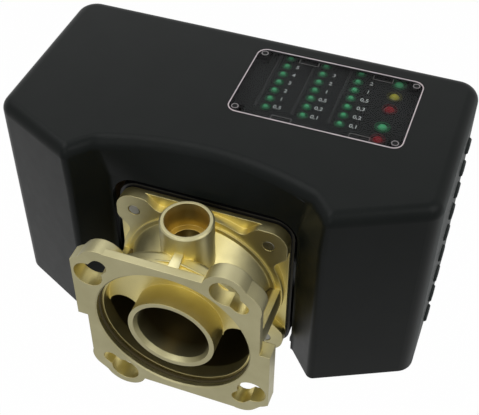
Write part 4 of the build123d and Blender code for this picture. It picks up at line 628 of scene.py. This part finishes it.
def make_scale_ribs():
    """Dim ribs beside the lamp columns."""
    rib = Surface("scale_rib", tone(40, 40, 40), 0.5).vary_color(tone(30, 31, 30), 3.0).material
    low_y = LAMP_FIRST_Y - SCALE_RIB_PAST
    high_y = LAMP_FIRST_Y + (LAMP_ROWS - 1) * LAMP_PITCH + SCALE_RIB_PAST
    for column, (lamp_x, *_) in enumerate(SCALES):
        points = [(lamp_x - SCALE_RIB_OFFSET, y, MASK_TOP) for y in (low_y, high_y)]
        make_bead(f"scale_rib_{column}", points, SCALE_RIB_BEAD, rib, "carrier")


# Cast rib on the cup, between the flange and the port
RIB_MIDDLE_X = 0.9 * MM
RIB_HALF_FRONT = 2.3 * MM
RIB_HALF_BACK = 1.7 * MM
RIB_START_Y = 3.2 * MM
RIB_END_Y = 9.9 * MM
RIB_LOW_Z = 33.6 * MM
RIB_FRONT_Z = 35.9 * MM
RIB_BACK_Z = 37.4 * MM
CUP_OUTSIDE = 34.7 * MM
BLADE_REACH = 11.0 * MM
BLADE_Y = 6.2 * MM
BLADE_HALF = 0.45 * MM
BLADE_RISE = 1.5 * MM
BLADE_SINK = 0.5 * MM
BLADE_SLOPE = 1.3
BLADE_STEPS = 8
RIB_ROUNDING = 0.35 * MM


def make_cast_rib():
    """Rib from the flange's back to the foot of the port, with thin blades to both sides."""
    corners = []
    front = (RIB_START_Y, RIB_HALF_FRONT, RIB_FRONT_Z)
    back = (RIB_END_Y, RIB_HALF_BACK, RIB_BACK_Z)
    for y, half, top in (front, back):
        for x, z in ((-half, RIB_LOW_Z), (half, RIB_LOW_Z), (half, top), (-half, top)):
            corners.append((RIB_MIDDLE_X + x, y, z))
    faces = [(0, 1, 2, 3), (7, 6, 5, 4), (0, 4, 5, 1), (1, 5, 6, 2), (2, 6, 7, 3), (3, 7, 4, 0)]
    for side in (-1, 1):
        start = len(corners)
        for step in range(BLADE_STEPS + 1):
            share = step / BLADE_STEPS
            x = side * BLADE_REACH * share
            on_cup = math.sqrt(CUP_OUTSIDE**2 - x * x)
            top = on_cup + BLADE_RISE * (1 - share) ** BLADE_SLOPE
            for y in (BLADE_Y - BLADE_HALF, BLADE_Y + BLADE_HALF):
                corners.append((RIB_MIDDLE_X + x, y, on_cup - BLADE_SINK))
                corners.append((RIB_MIDDLE_X + x, y, top))
        for step in range(BLADE_STEPS):
            base = start + 4 * step
            low_front, top_front, low_back, top_back = base, base + 1, base + 2, base + 3
            faces.append((low_front, low_front + 4, top_front + 4, top_front))
            faces.append((low_back, top_back, top_back + 4, low_back + 4))
            faces.append((top_front, top_front + 4, top_back + 4, top_back))
            faces.append((low_front, low_back, low_back + 4, low_front + 4))
        end = start + 4 * BLADE_STEPS
        faces.append((start, start + 1, start + 3, start + 2))
        faces.append((end, end + 2, end + 3, end + 1))
    mesh = bpy.data.meshes.new("cast_rib")
    mesh.from_pydata(corners, [], faces)
    mesh.validate()
    mesh.materials.append(MATERIALS["brass"])
    piece = bpy.data.objects.new("cast_rib", mesh)
    rounding = piece.modifiers.new("rounding", "BEVEL")
    rounding.width = RIB_ROUNDING
    rounding.segments = 3
    for polygon in mesh.polygons:
        polygon.use_smooth = True
    bpy.context.collection.objects.link(piece)
    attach(piece, "base")


make_cast_rib()
make_numbers()
make_window_edges()
make_collars()
make_scale_ribs()

# Floor and light
FLOOR_Z = -0.3
FLOOR_SIZE = 6.0
FLOOR_GLOW = 0.98
BACKGROUND = 1.0
AMBIENT = 0.38


def greater(tree, first, second):
    """Greater one of two outputs."""
    node = tree.nodes.new("ShaderNodeMath")
    node.operation = "MAXIMUM"
    tree.links.new(first, node.inputs[0])
    tree.links.new(second, node.inputs[1])
    return node.outputs[0]


def make_world():
    """White surroundings for the camera and for reflections, softer for the diffuse light."""
    world = bpy.data.worlds.new("world")
    bpy.context.scene.world = world
    world.use_nodes = True
    tree = world.node_tree
    background = tree.nodes["Background"]
    background.inputs["Color"].default_value = (1, 1, 1, 1)
    path = tree.nodes.new("ShaderNodeLightPath").outputs
    seen = greater(tree, path["Is Camera Ray"], path["Is Glossy Ray"])
    through = greater(tree, seen, path["Is Transmission Ray"])
    strength = tree.nodes.new("ShaderNodeMapRange")
    strength.inputs["To Min"].default_value = AMBIENT
    strength.inputs["To Max"].default_value = BACKGROUND
    tree.links.new(through, strength.inputs["Value"])
    tree.links.new(strength.outputs["Result"], background.inputs["Strength"])


def make_floor():
    """Pale floor that shows white and keeps a faint shadow."""
    mesh = bpy.data.meshes.new("floor")
    half = FLOOR_SIZE / 2
    corners = [(-half, -half, 0), (half, -half, 0), (half, half, 0), (-half, half, 0)]
    mesh.from_pydata(corners, [], [(0, 1, 2, 3)])
    floor = bpy.data.objects.new("floor", mesh)
    floor.location.z = FLOOR_Z
    bpy.context.collection.objects.link(floor)
    material = bpy.data.materials.new("floor")
    material.use_nodes = True
    tree = material.node_tree
    shader = tree.nodes["Principled BSDF"]
    shader.inputs["Base Color"].default_value = (0.85, 0.85, 0.85, 1)
    shader.inputs["Roughness"].default_value = 0.9
    glow = tree.nodes.new("ShaderNodeEmission")
    glow.inputs["Color"].default_value = (1, 1, 1, 1)
    path = tree.nodes.new("ShaderNodeLightPath").outputs
    seen = greater(tree, path["Is Camera Ray"], path["Is Glossy Ray"])
    share = tree.nodes.new("ShaderNodeMath")
    share.operation = "MULTIPLY"
    share.inputs[1].default_value = FLOOR_GLOW
    tree.links.new(seen, share.inputs[0])
    blend = tree.nodes.new("ShaderNodeMixShader")
    tree.links.new(share.outputs[0], blend.inputs[0])
    tree.links.new(shader.outputs[0], blend.inputs[1])
    tree.links.new(glow.outputs[0], blend.inputs[2])
    tree.links.new(blend.outputs[0], tree.nodes["Material Output"].inputs["Surface"])
    mesh.materials.append(material)


def make_lamp(name, place, aim, size, power):
    """Square soft lamp that looks at a point."""
    data = bpy.data.lights.new(name, "AREA")
    data.size = size
    data.energy = power
    lamp = bpy.data.objects.new(name, data)
    lamp.location = place
    lamp.rotation_euler = (Vector(aim) - Vector(place)).to_track_quat("-Z", "Y").to_euler()
    bpy.context.collection.objects.link(lamp)


make_world()
make_floor()
OBJECT_MIDDLE = (0.0, 0.06, 0.0)
make_lamp("key_lamp", (-0.4, 0.05, 0.95), OBJECT_MIDDLE, 0.7, 5.0)
make_lamp("back_lamp", (-0.35, 0.85, 0.75), OBJECT_MIDDLE, 1.0, 1.5)
make_lamp("front_lamp", (0.0, -0.75, 0.75), OBJECT_MIDDLE, 0.8, 2.5)
make_lamp("right_lamp", (0.6, 0.02, 0.65), OBJECT_MIDDLE, 0.5, 2.5)
bpy.context.scene.view_settings.view_transform = "Standard"
